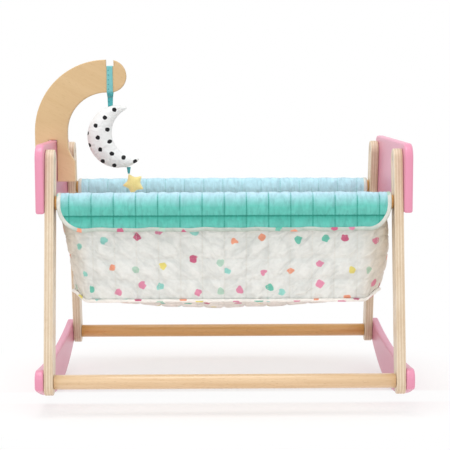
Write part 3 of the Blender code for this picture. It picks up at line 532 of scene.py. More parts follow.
# A darker, rosier copy of the beech: painted shade with a warm bounce.
shaded_beech = turned_beech("shaded_beech", SHADED_BEECH_LIGHT, SHADED_BEECH_DARK)
print("rail looks:", beech.name, shaded_beech.name)

# %% [markdown]
# ## Paint and metal
#
# The pink boards are sprayed: a thin even film with a faint orange-peel relief
# and a soft gloss. One flat colour would look like plastic, so it varies a
# little. The bolts and screws are zinc plated, with fine scratches. They keep
# their solids and only take the new finish.

# %% Paint and metal materials
PINK_LIGHT, PINK_DARK = (0.75, 0.285, 0.42, 1), (0.725, 0.265, 0.395, 1)
ZINC_LIGHT, ZINC_DARK = (0.62, 0.62, 0.60, 1), (0.52, 0.52, 0.52, 1)

pink_paint, tree, shader = new_material("pink_paint", Coat_Weight=0.25, Coat_Roughness=0.22, Roughness=0.4)
place = on_bed(tree)
peel = noise(tree, place, 650.0, 1.0)
finish(tree, shader, Base_Color=blend_colour(tree, noise(tree, place, 9.0, 2.0), PINK_LIGHT, PINK_DARK),
       Roughness=ranged(tree, peel, 0.3, 0.7, 0.34, 0.44), Normal=relief(tree, peel, 0.12, 0.0001))

zinc_steel, tree, shader = new_material("zinc_steel", Metallic=1.0)
rub = noise(tree, on_bed(tree), 1400.0, 2.0)
finish(tree, shader, Base_Color=blend_colour(tree, rub, ZINC_LIGHT, ZINC_DARK),
       Roughness=ranged(tree, rub, 0.3, 0.7, 0.24, 0.40))
for name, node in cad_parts.items():
    if "bolt" in name or "screw" in name:
        node.data.materials[0] = zinc_steel
print("paint and metal looks:", pink_paint.name, zinc_steel.name)

# %% [markdown]
# ## Boards
#
# Legs, end boards, rockers and the arm are all boards: a flat outline with a
# thickness and rounded edges. A bevel on a block would do, but a grid keeps the
# rounding even round tight curves: the outline is repeated as rings, each a
# little further in and nearer the face, along a quarter circle.

# %% Rounded boards
ROUNDING_STEPS = 4
FACE_RING_IN = 1.4


def arc(centre, radius, start, end, steps):
    """Points on an arc: centre + radius (cos a, sin a) for even angles a."""
    a = np.linspace(start, end, steps + 1)
    return np.column_stack((centre[0] + radius * np.cos(a), centre[1] + radius * np.sin(a)))


def inset_outline(outline, inset):
    """A counter-clockwise outline moved inwards. Each corner moves along the
    sum of its two edges' normals over 1 + their product, the mitre."""
    ahead = np.roll(outline, -1, 0) - outline
    ahead /= np.linalg.norm(ahead, axis=1)[:, None]
    after = np.column_stack((-ahead[:, 1], ahead[:, 0]))
    before = np.roll(after, 1, 0)
    mitre = (before + after) / (1 + (before * after).sum(1))[:, None]
    return outline + inset * mitre


def board(name, outline, low, high, rounding, look, faces_along):
    """Rings at angle a of a quarter circle are inset by r (1 - sin a) and lie
    r (1 - cos a) from the face; one more ring keeps the flat face flat."""
    turn = np.linspace(0, np.pi / 2, ROUNDING_STEPS + 1)
    inset = np.append(FACE_RING_IN * rounding, rounding * (1 - np.sin(turn)))
    rise = np.append(0.0, rounding * (1 - np.cos(turn)))
    insets = np.concatenate((inset, inset[::-1]))
    depths = np.concatenate((low + rise, (high - rise)[::-1]))
    rings = np.stack([inset_outline(outline, amount) for amount in insets])
    depth = np.broadcast_to(depths[:, None], rings.shape[:2])
    if faces_along == "X":
        grid = np.stack((depth, rings[..., 0], rings[..., 1]), -1)
    else:
        grid = np.stack((rings[..., 0], depth, rings[..., 1]), -1)
    return surface(name, grid, look, wrap=(False, True), caps=True)


print("boards: a rounding has", ROUNDING_STEPS, "steps")

# %% [markdown]
# The heads of the bolts and screws sit in round recesses. They could be drawn
# into the grid, but a round hole in a flat face would need its own rings. So
# they are drilled as a maker would: a Boolean cuts a short cylinder away.

# %% Drilled recesses
DRILL_SIDES, DRILL_START = 32, -0.002


def turned(xs, y, z, radii, sides):
    """A profile turned round an axis along X: (x, y + r cos a, z + r sin a)."""
    a = np.linspace(0, 2 * np.pi, sides, endpoint=False)
    radii = np.broadcast_to(radii, len(xs))[:, None]
    along = np.broadcast_to(xs[:, None], (len(xs), sides))
    return np.stack((along, y + radii * np.cos(a), z + radii * np.sin(a)), -1)


def drill(piece, places, radius, depth, side):
    """Round recesses cut into a board's face at x, pointing to +X or -X."""
    for number, (x, y, z) in enumerate(places):
        grid = turned(x + side * np.array((DRILL_START, depth)), y, z, radius, DRILL_SIDES)
        cutter = surface(f"{piece.name}_drill_{number}", grid, zinc_steel, (False, True), True)
        cut = piece.modifiers.new("recess", "BOOLEAN")
        cut.operation = "DIFFERENCE"
        cut.object = cutter
        bpy.context.view_layer.update()
        done = bpy.data.meshes.new_from_object(piece.evaluated_get(bpy.context.evaluated_depsgraph_get()))
        piece.modifiers.clear()
        piece.data = done
        bpy.data.objects.remove(cutter)


print("a drilled recess has", DRILL_SIDES, "sides")

# %% [markdown]
# ## Legs
#
# Each end of the bed stands on two boards with round ends that lean in towards
# the top. A leg could be modelled upright and its object turned, but the pieces
# stay unturned here, so the outline itself is drawn leaning. A screw at the top
# holds the end board.

# %% Legs
LEG_WIDTH = 0.034
LEG_ROUNDING = 0.0016
LEG_END_STEPS = 24
FOOT_SPREAD, TOP_SPREAD = 0.3764, 0.2620
LEG_LOW_Z, LEG_HIGH_Z = 0.0470, 0.3620
SCREW_RECESS = (0.0036, 0.0030)


def leg_outline(face):
    """Two half circles about the foot's and the top's centre, joined."""
    foot = np.array((face * FOOT_SPREAD / 2, LEG_LOW_Z))
    top = np.array((face * TOP_SPREAD / 2, LEG_HIGH_Z))
    along = (top - foot) / np.linalg.norm(top - foot)
    tilt = math.atan2(along[1], along[0])
    half = LEG_WIDTH / 2
    upper = arc(top, half, tilt - np.pi / 2, tilt + np.pi / 2, LEG_END_STEPS)
    lower = arc(foot, half, tilt + np.pi / 2, tilt + np.pi * 3 / 2, LEG_END_STEPS)
    return np.concatenate((upper, lower))


SIDES = (("left", -1), ("right", 1))
FACES = (("front", -1), ("rear", 1))
for side_name, side in SIDES:
    for face_name, face in FACES:
        inner, outer = side * LEG_INNER_X, side * (LEG_INNER_X + LEG_THICKNESS)
        name = f"leg_{face_name}_{side_name}"
        leg = board("wood_" + name, leg_outline(face), min(inner, outer), max(inner, outer),
                    LEG_ROUNDING, birch_board, "X")
        drill(leg, [(inner, face * TOP_SPREAD / 2, LEG_HIGH_Z)], *SCREW_RECESS, side)
        place_on(leg, "bed", "birch_board", name)

# %% [markdown]
# ## End boards and rockers
#
# The pink end boards are rectangles with generous upper corners. A rocker's
# running edge is one long arc with a short level stretch, its upper edge a
# flatter arc, and its ends are rounded into both. Curves could be drawn by hand,
# but arcs that are worked out meet without a kink, which the gloss would show.

# %% Outlines of the end boards and rockers
PLATE_HALF_WIDTH = 0.1652
PLATE_FOOT, PLATE_TOP = 0.288, 0.387
PLATE_LOWER_CORNER, PLATE_UPPER_CORNER = 0.004, 0.022
ROCKER_RADIUS, ROCKER_FLAT = 0.540, 0.024
ROCKER_HALF = 0.2078
ROCKER_HOLLOW, ROCKER_END_DEPTH = 0.012, 0.0284
ROCKER_LOWER_CORNER, ROCKER_UPPER_CORNER = 0.008, 0.014


def plate_outline():
    """A rectangle with round corners, counter-clockwise."""
    lower, upper, half = PLATE_LOWER_CORNER, PLATE_UPPER_CORNER, PLATE_HALF_WIDTH
    corners = [(half - lower, PLATE_FOOT + lower, lower, -0.5), (half - upper, PLATE_TOP - upper, upper, 0.0),
               (upper - half, PLATE_TOP - upper, upper, 0.5), (lower - half, PLATE_FOOT + lower, lower, 1.0)]
    return np.concatenate([arc((y, z), r, a * np.pi, (a + 0.5) * np.pi, 10) for y, z, r, a in corners])


def rocker_outline():
    """Half the outline, then its mirror image. Each end corner is a fillet
    between the upright end and the running or the hollow arc."""
    lower, upper = ROCKER_LOWER_CORNER, ROCKER_UPPER_CORNER
    centre = math.sqrt(ROCKER_RADIUS ** 2 - (ROCKER_FLAT / 2) ** 2)
    low = (ROCKER_HALF - lower, centre - math.sqrt((ROCKER_RADIUS - lower) ** 2 - (ROCKER_HALF - lower) ** 2))
    low_turn = math.atan2(low[1] - centre, low[0])
    end_z = centre - math.sqrt(ROCKER_RADIUS ** 2 - ROCKER_HALF ** 2)
    hollow = (ROCKER_HALF ** 2 / ROCKER_HOLLOW + ROCKER_HOLLOW) / 2
    hollow_z = end_z + ROCKER_END_DEPTH - ROCKER_HOLLOW + hollow
    high = (ROCKER_HALF - upper, hollow_z - math.sqrt((hollow + upper) ** 2 - (ROCKER_HALF - upper) ** 2))
    high_turn = math.atan2(hollow_z - high[1], -high[0])
    half = np.concatenate((
        arc((0, centre), ROCKER_RADIUS, math.atan2(-centre, ROCKER_FLAT / 2), low_turn, 60),
        arc(low, lower, low_turn, 0, 8)[1:], arc(high, upper, 0, high_turn, 12),
        arc((0, hollow_z), hollow, high_turn - np.pi, -np.pi / 2, 40)[1:]))
    return np.concatenate((half, half[-2::-1] * (-1, 1)))


print("outlines:", len(plate_outline()), "and", len(rocker_outline()), "points")

# %% Painted boards
PLATE_INNER_X, PLATE_OUTER_X = 0.258, 0.270
BOARD_ROUNDING = 0.0028
BOLT_RECESS = (0.0063, 0.0046)
UPPER_RAIL_Y, UPPER_RAIL_Z = 0.1418, 0.3025
LOWER_RAIL_Y, LOWER_RAIL_Z = 0.1878, 0.0490


def painted_board(name, outline, side, bolt_y, bolt_z, node):
    """A pink board on one side, with a recess for the bolt into each rail."""
    span = sorted((side * PLATE_INNER_X, side * PLATE_OUTER_X))
    made = board(name, outline, *span, BOARD_ROUNDING, pink_paint, "X")
    bolts = [(side * PLATE_OUTER_X, face * bolt_y, bolt_z) for face in (-1, 1)]
    drill(made, bolts, *BOLT_RECESS, -side)
    place_on(made, "bed", "pink_paint", node)


for side_name, side in SIDES:
    painted_board("painted_end_" + side_name, plate_outline(), side, UPPER_RAIL_Y, UPPER_RAIL_Z,
                  "end_plate_" + side_name)
    painted_board("painted_rocker_" + side_name, rocker_outline(), side, LOWER_RAIL_Y, LOWER_RAIL_Z,
                  "rocker_" + side_name)

# %% [markdown]
# ## Rails
#
# A rail is a turned stick between the legs. Blender's cylinder with a bevel
# would do, but the profile is as short to write and is turned by the function
# that shapes the drill: a straight run with a small chamfer at each end.

# %% Rails
RAIL_RADIUS = 0.0105
RAIL_CHAMFER = 0.0008
RAIL_GAP = 0.0003
RAIL_SIDES = 48


def rail(name, y, z, look):
    """The radius r(x) turned round (y, z); the ends stop short of the legs."""
    end = LEG_INNER_X - RAIL_GAP
    xs = np.array((-end, RAIL_CHAMFER - end, -end / 2, 0, end / 2, end - RAIL_CHAMFER, end))
    radii = np.full(len(xs), RAIL_RADIUS)
    radii[[0, -1]] -= RAIL_CHAMFER
    made = surface("beech_" + name, turned(xs, y, z, radii, RAIL_SIDES), look, (False, True), True)
    place_on(made, "bed", "beech", name)


for face_name, face in FACES:
    look = shaded_beech if face_name == "rear" else beech
    rail("lower_rail_" + face_name, face * LOWER_RAIL_Y, LOWER_RAIL_Z, look)
    rail("upper_rail_" + face_name, face * UPPER_RAIL_Y, UPPER_RAIL_Z, shaded_beech)
print("rails are", 2 * RAIL_RADIUS * 1000, "mm round")

# %% [markdown]
# ## The mobile arm
#
# The arm is one board again, stood on the left end board. It could be a curve
# given a thickness, but then its slot and its notch would have to be cut
# afterwards. Here the outline holds them all: two arcs about one centre, a round
# tip, a slot for the ribbon, a foot that flares to the inside and a notch that
# straddles the end board. Its face is bare wood.

# %% Mobile arm
ARM_BACK_X = -0.2914
ARM_RADIUS, ARM_WIDTH, ARM_ROUNDING = 0.111, 0.0504, 0.0015
BOW_X, BOW_Z = -0.1804, 0.3997
TIP_X = -0.1746
SLOT_HALF, SLOT_FLOOR = 0.00585, 0.5001
ARM_FOOT_Z = 0.323
FLARE_Z, FLARE_RADIUS, FLARE = 0.385, 0.047, 0.0112
NOTCH_TOP = 0.3873
NOTCH_BACK_X, NOTCH_INNER_X = -0.2703, -0.2577


def arm_outline():
    """Clockwise along the back, the bow with its slot, the tip, the hollow
    side, the flare and the notch; turned round at the end."""
    tip = ARM_WIDTH / 2
    slot_turn = math.acos((TIP_X - SLOT_HALF - BOW_X) / ARM_RADIUS)
    tip_turn = math.asin(SLOT_HALF / tip)
    flare_turn = math.acos(1 - FLARE / FLARE_RADIUS)
    inner_x = ARM_BACK_X + ARM_WIDTH
    tip_centre = (TIP_X, BOW_Z + ARM_RADIUS - tip)
    return np.concatenate((
        [(ARM_BACK_X, ARM_FOOT_Z), (ARM_BACK_X, (ARM_FOOT_Z + BOW_Z) / 2)],
        arc((BOW_X, BOW_Z), ARM_RADIUS, np.pi, slot_turn, 48),
        [(TIP_X - SLOT_HALF, SLOT_FLOOR), (TIP_X + SLOT_HALF, SLOT_FLOOR)],
        arc(tip_centre, tip, np.pi / 2 - tip_turn, -np.pi / 2, 28),
        arc((BOW_X, BOW_Z), ARM_RADIUS - ARM_WIDTH, np.pi / 2, np.pi, 40),
        arc((inner_x + FLARE_RADIUS, FLARE_Z), FLARE_RADIUS, np.pi, np.pi + flare_turn, 12),
        [(inner_x + FLARE, ARM_FOOT_Z), (NOTCH_INNER_X, ARM_FOOT_Z), (NOTCH_INNER_X, NOTCH_TOP),
         (NOTCH_BACK_X, NOTCH_TOP), (NOTCH_BACK_X, ARM_FOOT_Z)]))[::-1]


half = ARM_THICKNESS / 2
arm = board("bowed_arm", arm_outline(), -half, half, ARM_ROUNDING, arm_board, "Y")
place_on(arm, "arm", "beech", "mobile_arm")
print("arm outline:", len(arm_outline()), "points")

# %% [markdown]
# ## Cloth looks
#
# The basket and cuffs are plain-woven cotton, sewn through a padding. Scanned
# cloth would do from afar, but it repeats and blurs up close. Three effects are
# worked out instead and shared by the cloths as groups: the weave, the line of
# stitches with its crease, and the printed confetti. They read the UV map, which
# is in metres, so the weave and print follow the cloth wherever it bends.

# %% Weave as a node group
weave_group, ins, outs = new_group(
    "plain_weave", [("Vector", "VECTOR", None), ("Pitch", "VALUE", 0.0005)],
    [("Height", "VALUE"), ("Tone", "VALUE")])
tree = ins[0].node.id_data
turns = vectors(tree, "SCALE", ins["Vector"], Scale=sums(tree, "DIVIDE", math.pi, ins["Pitch"]))[0]
across = parts_of(tree, turns)
warp, weft = sums(tree, "SINE", across["X"]), sums(tree, "SINE", across["Y"])
over = ranged(tree, sums(tree, "MULTIPLY", warp, weft), -0.15, 0.15)
warp_on_top = sums(tree, "MULTIPLY", sums(tree, "ABSOLUTE", warp), over)
weft_on_top = sums(tree, "MULTIPLY", sums(tree, "ABSOLUTE", weft), sums(tree, "SUBTRACT", 1.0, over))
tree.links.new(sums(tree, "ADD", warp_on_top, weft_on_top), outs["Height"])
slubs = noise(tree, ins["Vector"], 170.0, 2.0)
tree.links.new(ranged(tree, slubs, 0.3, 0.7, 0.95, 1.03), outs["Tone"])
print("weave group:", weave_group.name)

# %% [markdown]
# A seam shows as a row of short stitches in a soft crease. Thread could be
# modelled, but there are thousands of stitches. So the group is given two
# distances, along the seam and across it, and says where thread lies on top and
# how deep the crease is.

# %% Stitches as a node group
stitch_group, ins, outs = new_group(
    "stitched_seam",
    [("Along", "VALUE", 0.0), ("Across", "VALUE", 0.0), ("Stitch", "VALUE", 0.0032),
     ("Thread", "VALUE", 0.0006), ("Crease", "VALUE", 0.0022)],
    [("Thread", "VALUE"), ("Crease", "VALUE")])
tree = ins[0].node.id_data
away = sums(tree, "ABSOLUTE", ins["Across"])
on_line = ranged(tree, sums(tree, "DIVIDE", away, ins["Thread"]), 0.6, 0.4)
phase = sums(tree, "FRACT", sums(tree, "DIVIDE", ins["Along"], ins["Stitch"]))
on_top = ranged(tree, sums(tree, "ABSOLUTE", sums(tree, "SUBTRACT", phase, 0.5)), 0.38, 0.30)
tree.links.new(sums(tree, "MULTIPLY", on_line, on_top), outs["Thread"])
crease = ranged(tree, sums(tree, "DIVIDE", away, ins["Crease"]), 1.0, 0.0)
tree.links.new(sums(tree, "POWER", crease, 1.6), outs["Crease"])
print("stitch group:", stitch_group.name)

# %% [markdown]
# The print has roundish blobs in seven colours. They could be placed one by one,
# but a Voronoi pattern already has a centre in each cell: the distance to it
# draws the blob, and the cell's random colour picks the dye and the size. A
# little noise makes the edges ragged, as ink on cotton is.

# %% Confetti as a node group
PINK, RASPBERRY, ORANGE = (0.76, 0.28, 0.42), (0.60, 0.13, 0.24), (0.87, 0.36, 0.23)
YELLOW, AQUA, MINT, TEAL = (0.81, 0.71, 0.20), (0.31, 0.69, 0.62), (0.46, 0.67, 0.55), (0.16, 0.56, 0.44)
CONFETTI = (PINK, AQUA, YELLOW, MINT, RASPBERRY, AQUA, ORANGE, PINK, MINT, YELLOW, PINK, TEAL)
RAGGED_BY, PRINT_EDGE = 0.0050, 0.0005

confetti_group, ins, outs = new_group(
    "confetti_print", [("Vector", "VECTOR", None), ("Spacing", "VALUE", 0.041), ("Size", "VALUE", 0.0054)],
    [("Print", "VALUE"), ("Color", "COLOR")])
tree = ins[0].node.id_data
ragged = add(tree, "TexNoise", ins["Vector"], Scale=165.0, Detail=0.0).outputs["Color"]
ragged = vectors(tree, "SUBTRACT", ragged, (0.5, 0.5, 0.5))[0]
ragged = vectors(tree, "SCALE", ragged, Scale=RAGGED_BY)[0]
bent = vectors(tree, "ADD", ins["Vector"], ragged)[0]
cells = vectors(tree, "SCALE", bent, Scale=sums(tree, "DIVIDE", 1.0, ins["Spacing"]))[0]
blobs = add(tree, "TexVoronoi", cells, voronoi_dimensions="2D", Scale=1.0, Randomness=0.62).outputs
distance = sums(tree, "MULTIPLY", blobs["Distance"], ins["Spacing"])
pick = parts_of(tree, blobs["Color"])
radius = sums(tree, "MULTIPLY", ins["Size"], ranged(tree, pick["Y"], 0.0, 1.0, 0.84, 1.12))
edge = sums(tree, "SUBTRACT", radius, distance)
tree.links.new(ranged(tree, edge, -PRINT_EDGE, PRINT_EDGE), outs["Print"])
ramp = add(tree, "ValToRGB", pick["X"])
ramp.color_ramp.interpolation = "CONSTANT"
for number, colour in enumerate(CONFETTI):
    if number > 1:
        ramp.color_ramp.elements.new(number / len(CONFETTI))
    ramp.color_ramp.elements[number].position = number / len(CONFETTI)
    ramp.color_ramp.elements[number].color = (*colour, 1)
tree.links.new(ramp.outputs[0], outs["Color"])
print("confetti group:", confetti_group.name, "with", len(set(CONFETTI)), "colours")

# %% [markdown]
# Every cloth of the bed is finished the same way, so one function does it. It
# paints shade into the creases and the puckers' hollows and painted light on
# the puckers' crowns, draws the thread, lays soft puckers under the weave, and
# lets the weave itself stand up as a fine relief. A displacement could raise
# them for real, but threads are too fine to be worth the faces. Cotton scatters
# light at its fibre ends, which shows as a pale edge, so each cloth has a little
# sheen.

# %% Finishing a cloth
QUILT_PITCH = 0.0319
THREAD_WIDTH = 0.0006
WEAVE_DEPTH = 0.00022
PUCKER_HOLLOW_SHADE, PUCKER_CROWN_LIGHT = (0.90, 0.91, 0.91, 1), (1.03, 1.03, 1.03, 1)


def on_cloth(tree):
    """The UV map as a vector in metres, and its two parts."""
    place = add(tree, "UVMap", uv_map="cloth").outputs[0]
    parts = parts_of(tree, place)
    return place, parts["X"], parts["Y"]


def to_nearest(tree, value, pitch):
    """Distance to the nearest multiple of the pitch."""
    return sums(tree, "PINGPONG", value, pitch / 2)


def pucker(tree, place, turn, along, across):
    """Noise in slanted streaks: turned by an angle in degrees, with so many
    features a metre along and across them."""
    drawn = add(tree, "Mapping", place, vector_type="TEXTURE", Rotation=(0, 0, math.radians(turn)),
                Scale=(1 / along, 1 / across, 1.0)).outputs[0]
    return noise(tree, drawn, 1.0, 2.0, 0.8)


def finish_cloth(tree, shader, place, colour, pitch, seams, shade, thread, slant):
    """Weave, creases and threads over a base colour, with painted shade in the
    creases and the puckers' hollows and painted light on the puckers' crowns.
    Seams are (along, across, strength, thread width) values. Slant gives the
    puckers' turn, their features along and across, and their depth."""
    weave = place_group(tree, weave_group, Vector=place, Pitch=pitch)
    tone = add(tree, "CombineXYZ", weave["Tone"], weave["Tone"], weave["Tone"]).outputs[0]
    colour = tint(tree, colour, tone)
    height = sums(tree, "MULTIPLY", weave["Height"], 0.5)
    for along, across, strength, width in seams:
        uneven = ranged(tree, noise(tree, place, 85.0, 0.0), 0.3, 0.7, 0.45, 1.0)
        strength = sums(tree, "MULTIPLY", uneven, strength)
        seam = place_group(tree, stitch_group, Along=along, Across=across, Thread=width)
        crease_shade = sums(tree, "MULTIPLY", seam["Crease"], strength)
        # Painted shade in the seam's crease.
        colour = blend_colour(tree, crease_shade, colour, tint(tree, colour, shade))
        sewn = sums(tree, "MULTIPLY", seam["Thread"], strength)
        colour = blend_colour(tree, sewn, colour, thread)
        height = sums(tree, "ADD", height, sums(tree, "MULTIPLY", seam["Thread"], 1.2))
        height = sums(tree, "SUBTRACT", height, sums(tree, "MULTIPLY", seam["Crease"], 1.5))
    *streaks, depth = slant
    puckers = pucker(tree, place, *streaks)
    # Painted shade in the puckers' hollows, painted light on their crowns.
    colour = tint(tree, colour, blend_colour(tree, ranged(tree, puckers, 0.36, 0.58), PUCKER_HOLLOW_SHADE, PUCKER_CROWN_LIGHT))
    soft = relief(tree, puckers, 0.9, depth)
    finish(tree, shader, Base_Color=colour, Normal=relief(tree, height, 0.5, WEAVE_DEPTH, soft))


print("quilting lines are", QUILT_PITCH * 1000, "mm apart")

# %% [markdown]
# The printed cotton is white with confetti. The walls and the bottom are quilted
# with it, and strips of it make the binding and the piping. On the walls the
# puckers slant one way on the left half and the other way on the right, so their
# pattern is mirrored half way round the ring. At the foot the cloth is painted
# paler, a painted light. On the cuffs' hem, under the cuffs and in the corners
# it is painted a little deeper, a painted shade. That could be left to the light
# alone, but real cotton is creased there more finely than this mesh.

# %% Printed cotton
CELLS_ROUND = 48
PRINT_WHITE, PRINT_CREAM = (0.80, 0.825, 0.80, 1), (0.76, 0.78, 0.75, 1)
BINDING_TONE, HEM_SHADE = (0.93, 0.92, 0.88, 1), (0.49, 0.57, 0.51, 1)
HEM_TOP, HEM_FOOT = (0.272, 0.264), (0.20, 0.21)
FOOT_PAINTED_LIGHT, WALL_FADE, PIPING_FADE = (0.93, 0.90, 0.85, 1), (0.158, 0.150), (0.20, 0.19)
CUFF_SHADE, CUFF_FADE = (0.88, 0.89, 0.88, 1), (0.205, 0.265, 0.0, 0.8)
CORNER_WARM_SHADE, CORNER_X, CORNER_Y = (0.95, 0.84, 0.75, 1), (0.195, 0.232), (0.075, 0.115)
PRINT_CREASE_SHADE, PRINT_THREAD = (0.93, 0.92, 0.89, 1), (0.78, 0.77, 0.73, 1)
PRINT_WEAVE, PRINT_SLANT = 0.0005, (40, 32, 80, 0.0046)
CONFETTI_SPACING, STRIP_SPACING = 0.041, 0.031


def printed_white(tree, place, height, quilted):
    """The white ground, with painted shade on the hem of the cuffs and painted light at the foot."""
    white = blend_colour(tree, noise(tree, place, 14.0, 2.0), PRINT_WHITE, PRINT_CREAM)
    if not quilted:
        white = tint(tree, white, BINDING_TONE)
        # Painted shade on the hem, under the padded edge of the cuff.
        hem = sums(tree, "MULTIPLY", ranged(tree, height, *HEM_TOP), ranged(tree, height, *HEM_FOOT))
        white = blend_colour(tree, hem, white, HEM_SHADE)
    # Painted light: the bottom and the piping are paler.
    foot = ranged(tree, height, *(WALL_FADE if quilted else PIPING_FADE))
    return blend_colour(tree, foot, white, FOOT_PAINTED_LIGHT)


def shaded_walls(tree, colour, body):
    """Painted shade under the cuffs, and a warm painted shade in the basket's corners."""
    under_cuff = blend_colour(tree, ranged(tree, body["Z"], *CUFF_FADE), WHITE, CUFF_SHADE)
    from_middle = sums(tree, "ABSOLUTE", sums(tree, "SUBTRACT", body["X"], float(BED_MIDDLE[0])))
    corner = sums(tree, "MULTIPLY", ranged(tree, from_middle, *CORNER_X),
                  ranged(tree, sums(tree, "ABSOLUTE", body["Y"]), *CORNER_Y))
    warm = blend_colour(tree, corner, WHITE, CORNER_WARM_SHADE)
    return tint(tree, tint(tree, colour, under_cuff), warm)


def printed(name, spacing, quilted):
    """White cotton with confetti, with or without its quilting lines."""
    look, tree, shader = new_material(name, Roughness=0.85, Sheen_Weight=0.2, Sheen_Roughness=0.5)
    place, along, across = on_cloth(tree)
    body = parts_of(tree, on_bed(tree))
    dots = place_group(tree, confetti_group, Vector=place, Spacing=spacing)
    colour = blend_colour(tree, dots["Print"], printed_white(tree, place, body["Z"], quilted), dots["Color"])
    lines = []
    if quilted:
        colour = shaded_walls(tree, colour, body)
        lines = [(across, to_nearest(tree, along, QUILT_PITCH), 1.0, THREAD_WIDTH),
                 (along, to_nearest(tree, across, QUILT_PITCH), 0.35, THREAD_WIDTH)]
    half_way = CELLS_ROUND / 2 * QUILT_PITCH
    mirrored = sums(tree, "PINGPONG", along, half_way)
    second_half = sums(tree, "GREATER_THAN", along, half_way)
    both_ways = add(tree, "CombineXYZ", mirrored, across, second_half).outputs[0]
    finish_cloth(tree, shader, both_ways, colour, PRINT_WEAVE, lines, PRINT_CREASE_SHADE, PRINT_THREAD, PRINT_SLANT)
    return look


printed_cotton = printed("printed_cotton", CONFETTI_SPACING, True)
printed_binding = printed("printed_binding", STRIP_SPACING, False)
print("cloth looks:", printed_cotton.name, printed_binding.name)

# %% [markdown]
# ## Padding that swells between its seams
#
# A quilted cloth is held at its stitched lines and blown up between them. A
# formula can draw that, but too smoothly. A cloth simulation does what the real
# cloth does: the points on the seams are pinned, pressure pushes the rest
# outwards, and the cloth is told to grow a few hundredths, so it wrinkles beside
# the stitches. It runs at ten times the size, where the simulation is steadier.

# %% A grid's normals, and cloth under pressure
SIM_SCALE, SIM_FRAMES = 10.0, 14
CLOTH = {"quality": 5, "mass": 0.2, "tension_stiffness": 12, "compression_stiffness": 12,
         "shear_stiffness": 6, "bending_stiffness": 0.2, "use_pressure": True}


def facing_out(grid, wrap, flip=1.0):
    """Unit normals of a grid: rows' direction crossed with columns'."""
    steps = []
    for axis in (0, 1):
        if wrap[axis]:
            steps.append(np.roll(grid, -1, axis) - np.roll(grid, 1, axis))
        else:
            steps.append(np.gradient(grid, axis=axis))
    normal = np.cross(steps[0], steps[1]) * flip
    return normal / np.maximum(np.linalg.norm(normal, axis=2, keepdims=True), 1e-12)


def blown(points, faces, sewn, pressure, growth):
    """Points after a cloth simulation: sewn ones stay, the others are pushed
    along the faces' normals while the cloth grows by a share."""
    mesh = bpy.data.meshes.new("blown")
    mesh.from_pydata((points * SIM_SCALE).tolist(), [], faces.tolist())
    trial = bpy.data.objects.new("blown", mesh)
    scene.collection.objects.link(trial)
    trial.vertex_groups.new(name="sewn").add(np.flatnonzero(sewn).tolist(), 1.0, "REPLACE")
    cloth = trial.modifiers.new("cloth", "CLOTH")
    for name, value in CLOTH.items():
        setattr(cloth.settings, name, value)
    cloth.settings.vertex_group_mass = "sewn"
    cloth.settings.uniform_pressure_force = pressure
    cloth.settings.shrink_min = -growth
    cloth.settings.effector_weights.gravity = 0
    cloth.collision_settings.use_collision = False
    cloth.point_cache.frame_start, cloth.point_cache.frame_end = 1, SIM_FRAMES
    for moment in range(1, SIM_FRAMES + 1):
        scene.frame_set(moment)
    shaped = trial.evaluated_get(bpy.context.evaluated_depsgraph_get()).data
    moved = np.empty(len(points) * 3, np.float32)
    shaped.vertices.foreach_get("co", moved)
    bpy.data.objects.remove(trial)
    bpy.data.meshes.remove(mesh)
    scene.frame_set(1)
    return moved.reshape(-1, 3).astype(float) / SIM_SCALE


print("the simulation has", SIM_FRAMES, "steps at", SIM_SCALE, "times the size")

# %% [markdown]
# Only the push along the normal matters, so it is capped, and the drift within
# the surface is held small. The skin and the lining then become one closed shell.

# %% Swelling and closing a padded piece
DRIFT_SHARE, SINK_SHARE = 0.3, 0.1


def pillow_between(share_u, share_v):
    """Crown of a cell: the root of two half sines over its shares."""
    return np.sqrt(np.abs(np.sin(np.pi * share_u) * np.sin(np.pi * share_v)))


def swell(grid, wrap, flip, sewn, cap, pressure=2.0, growth=0.06):
    """Where a padded skin ends up: its rest place plus a push along the normal
    between a slight sinking and the cap, and a smaller drift within the
    surface."""
    normal = facing_out(grid, wrap, flip)
    faces, _ = quads(*grid.shape[:2], wrap)
    if flip > 0:
        faces = faces[:, ::-1]
    moved = blown(grid.reshape(-1, 3), faces, sewn.ravel(), pressure, growth).reshape(grid.shape) - grid
    out = (moved * normal).sum(-1, keepdims=True)
    drift = np.clip(moved - out * normal, -DRIFT_SHARE * cap, DRIFT_SHARE * cap)
    print(f"  swelled by {np.mean(out) * 1000:.2f} mm, at most {np.max(out) * 1000:.2f} mm")
    return grid + np.clip(out, -SINK_SHARE * cap, cap) * normal + drift


def padded_shell(name, outer, inner, look, wrap_columns, uv):
    """A closed skin over two grids: the outer one, then the inner one back;
    where the columns don't run round, their ends are closed too."""
    rows, columns = outer.shape[:2]
    loop = np.concatenate((outer, inner[::-1]))
    loop_uv = np.concatenate((uv, uv[::-1], uv[:1]))
    folded, spread = quads(2 * rows, columns, (True, wrap_columns))
    faces = [folded]
    corner_uv = [loop_uv.reshape(-1, 2)[spread].reshape(-1, 2)]
    if not wrap_columns:
        i = np.arange(rows - 1)
        rim = np.stack((i, i + 1, 2 * rows - 2 - i, 2 * rows - 1 - i), -1) * columns
        for closing in (rim, rim[:, ::-1] + columns - 1):
            faces.append(closing)
            corner_uv.append(loop_uv.reshape(-1, 2)[closing].reshape(-1, 2))
    return build(name, loop, np.concatenate(faces).tolist(), look, np.concatenate(corner_uv), SOFT_ANGLE)


print("swelling is", "simulated")

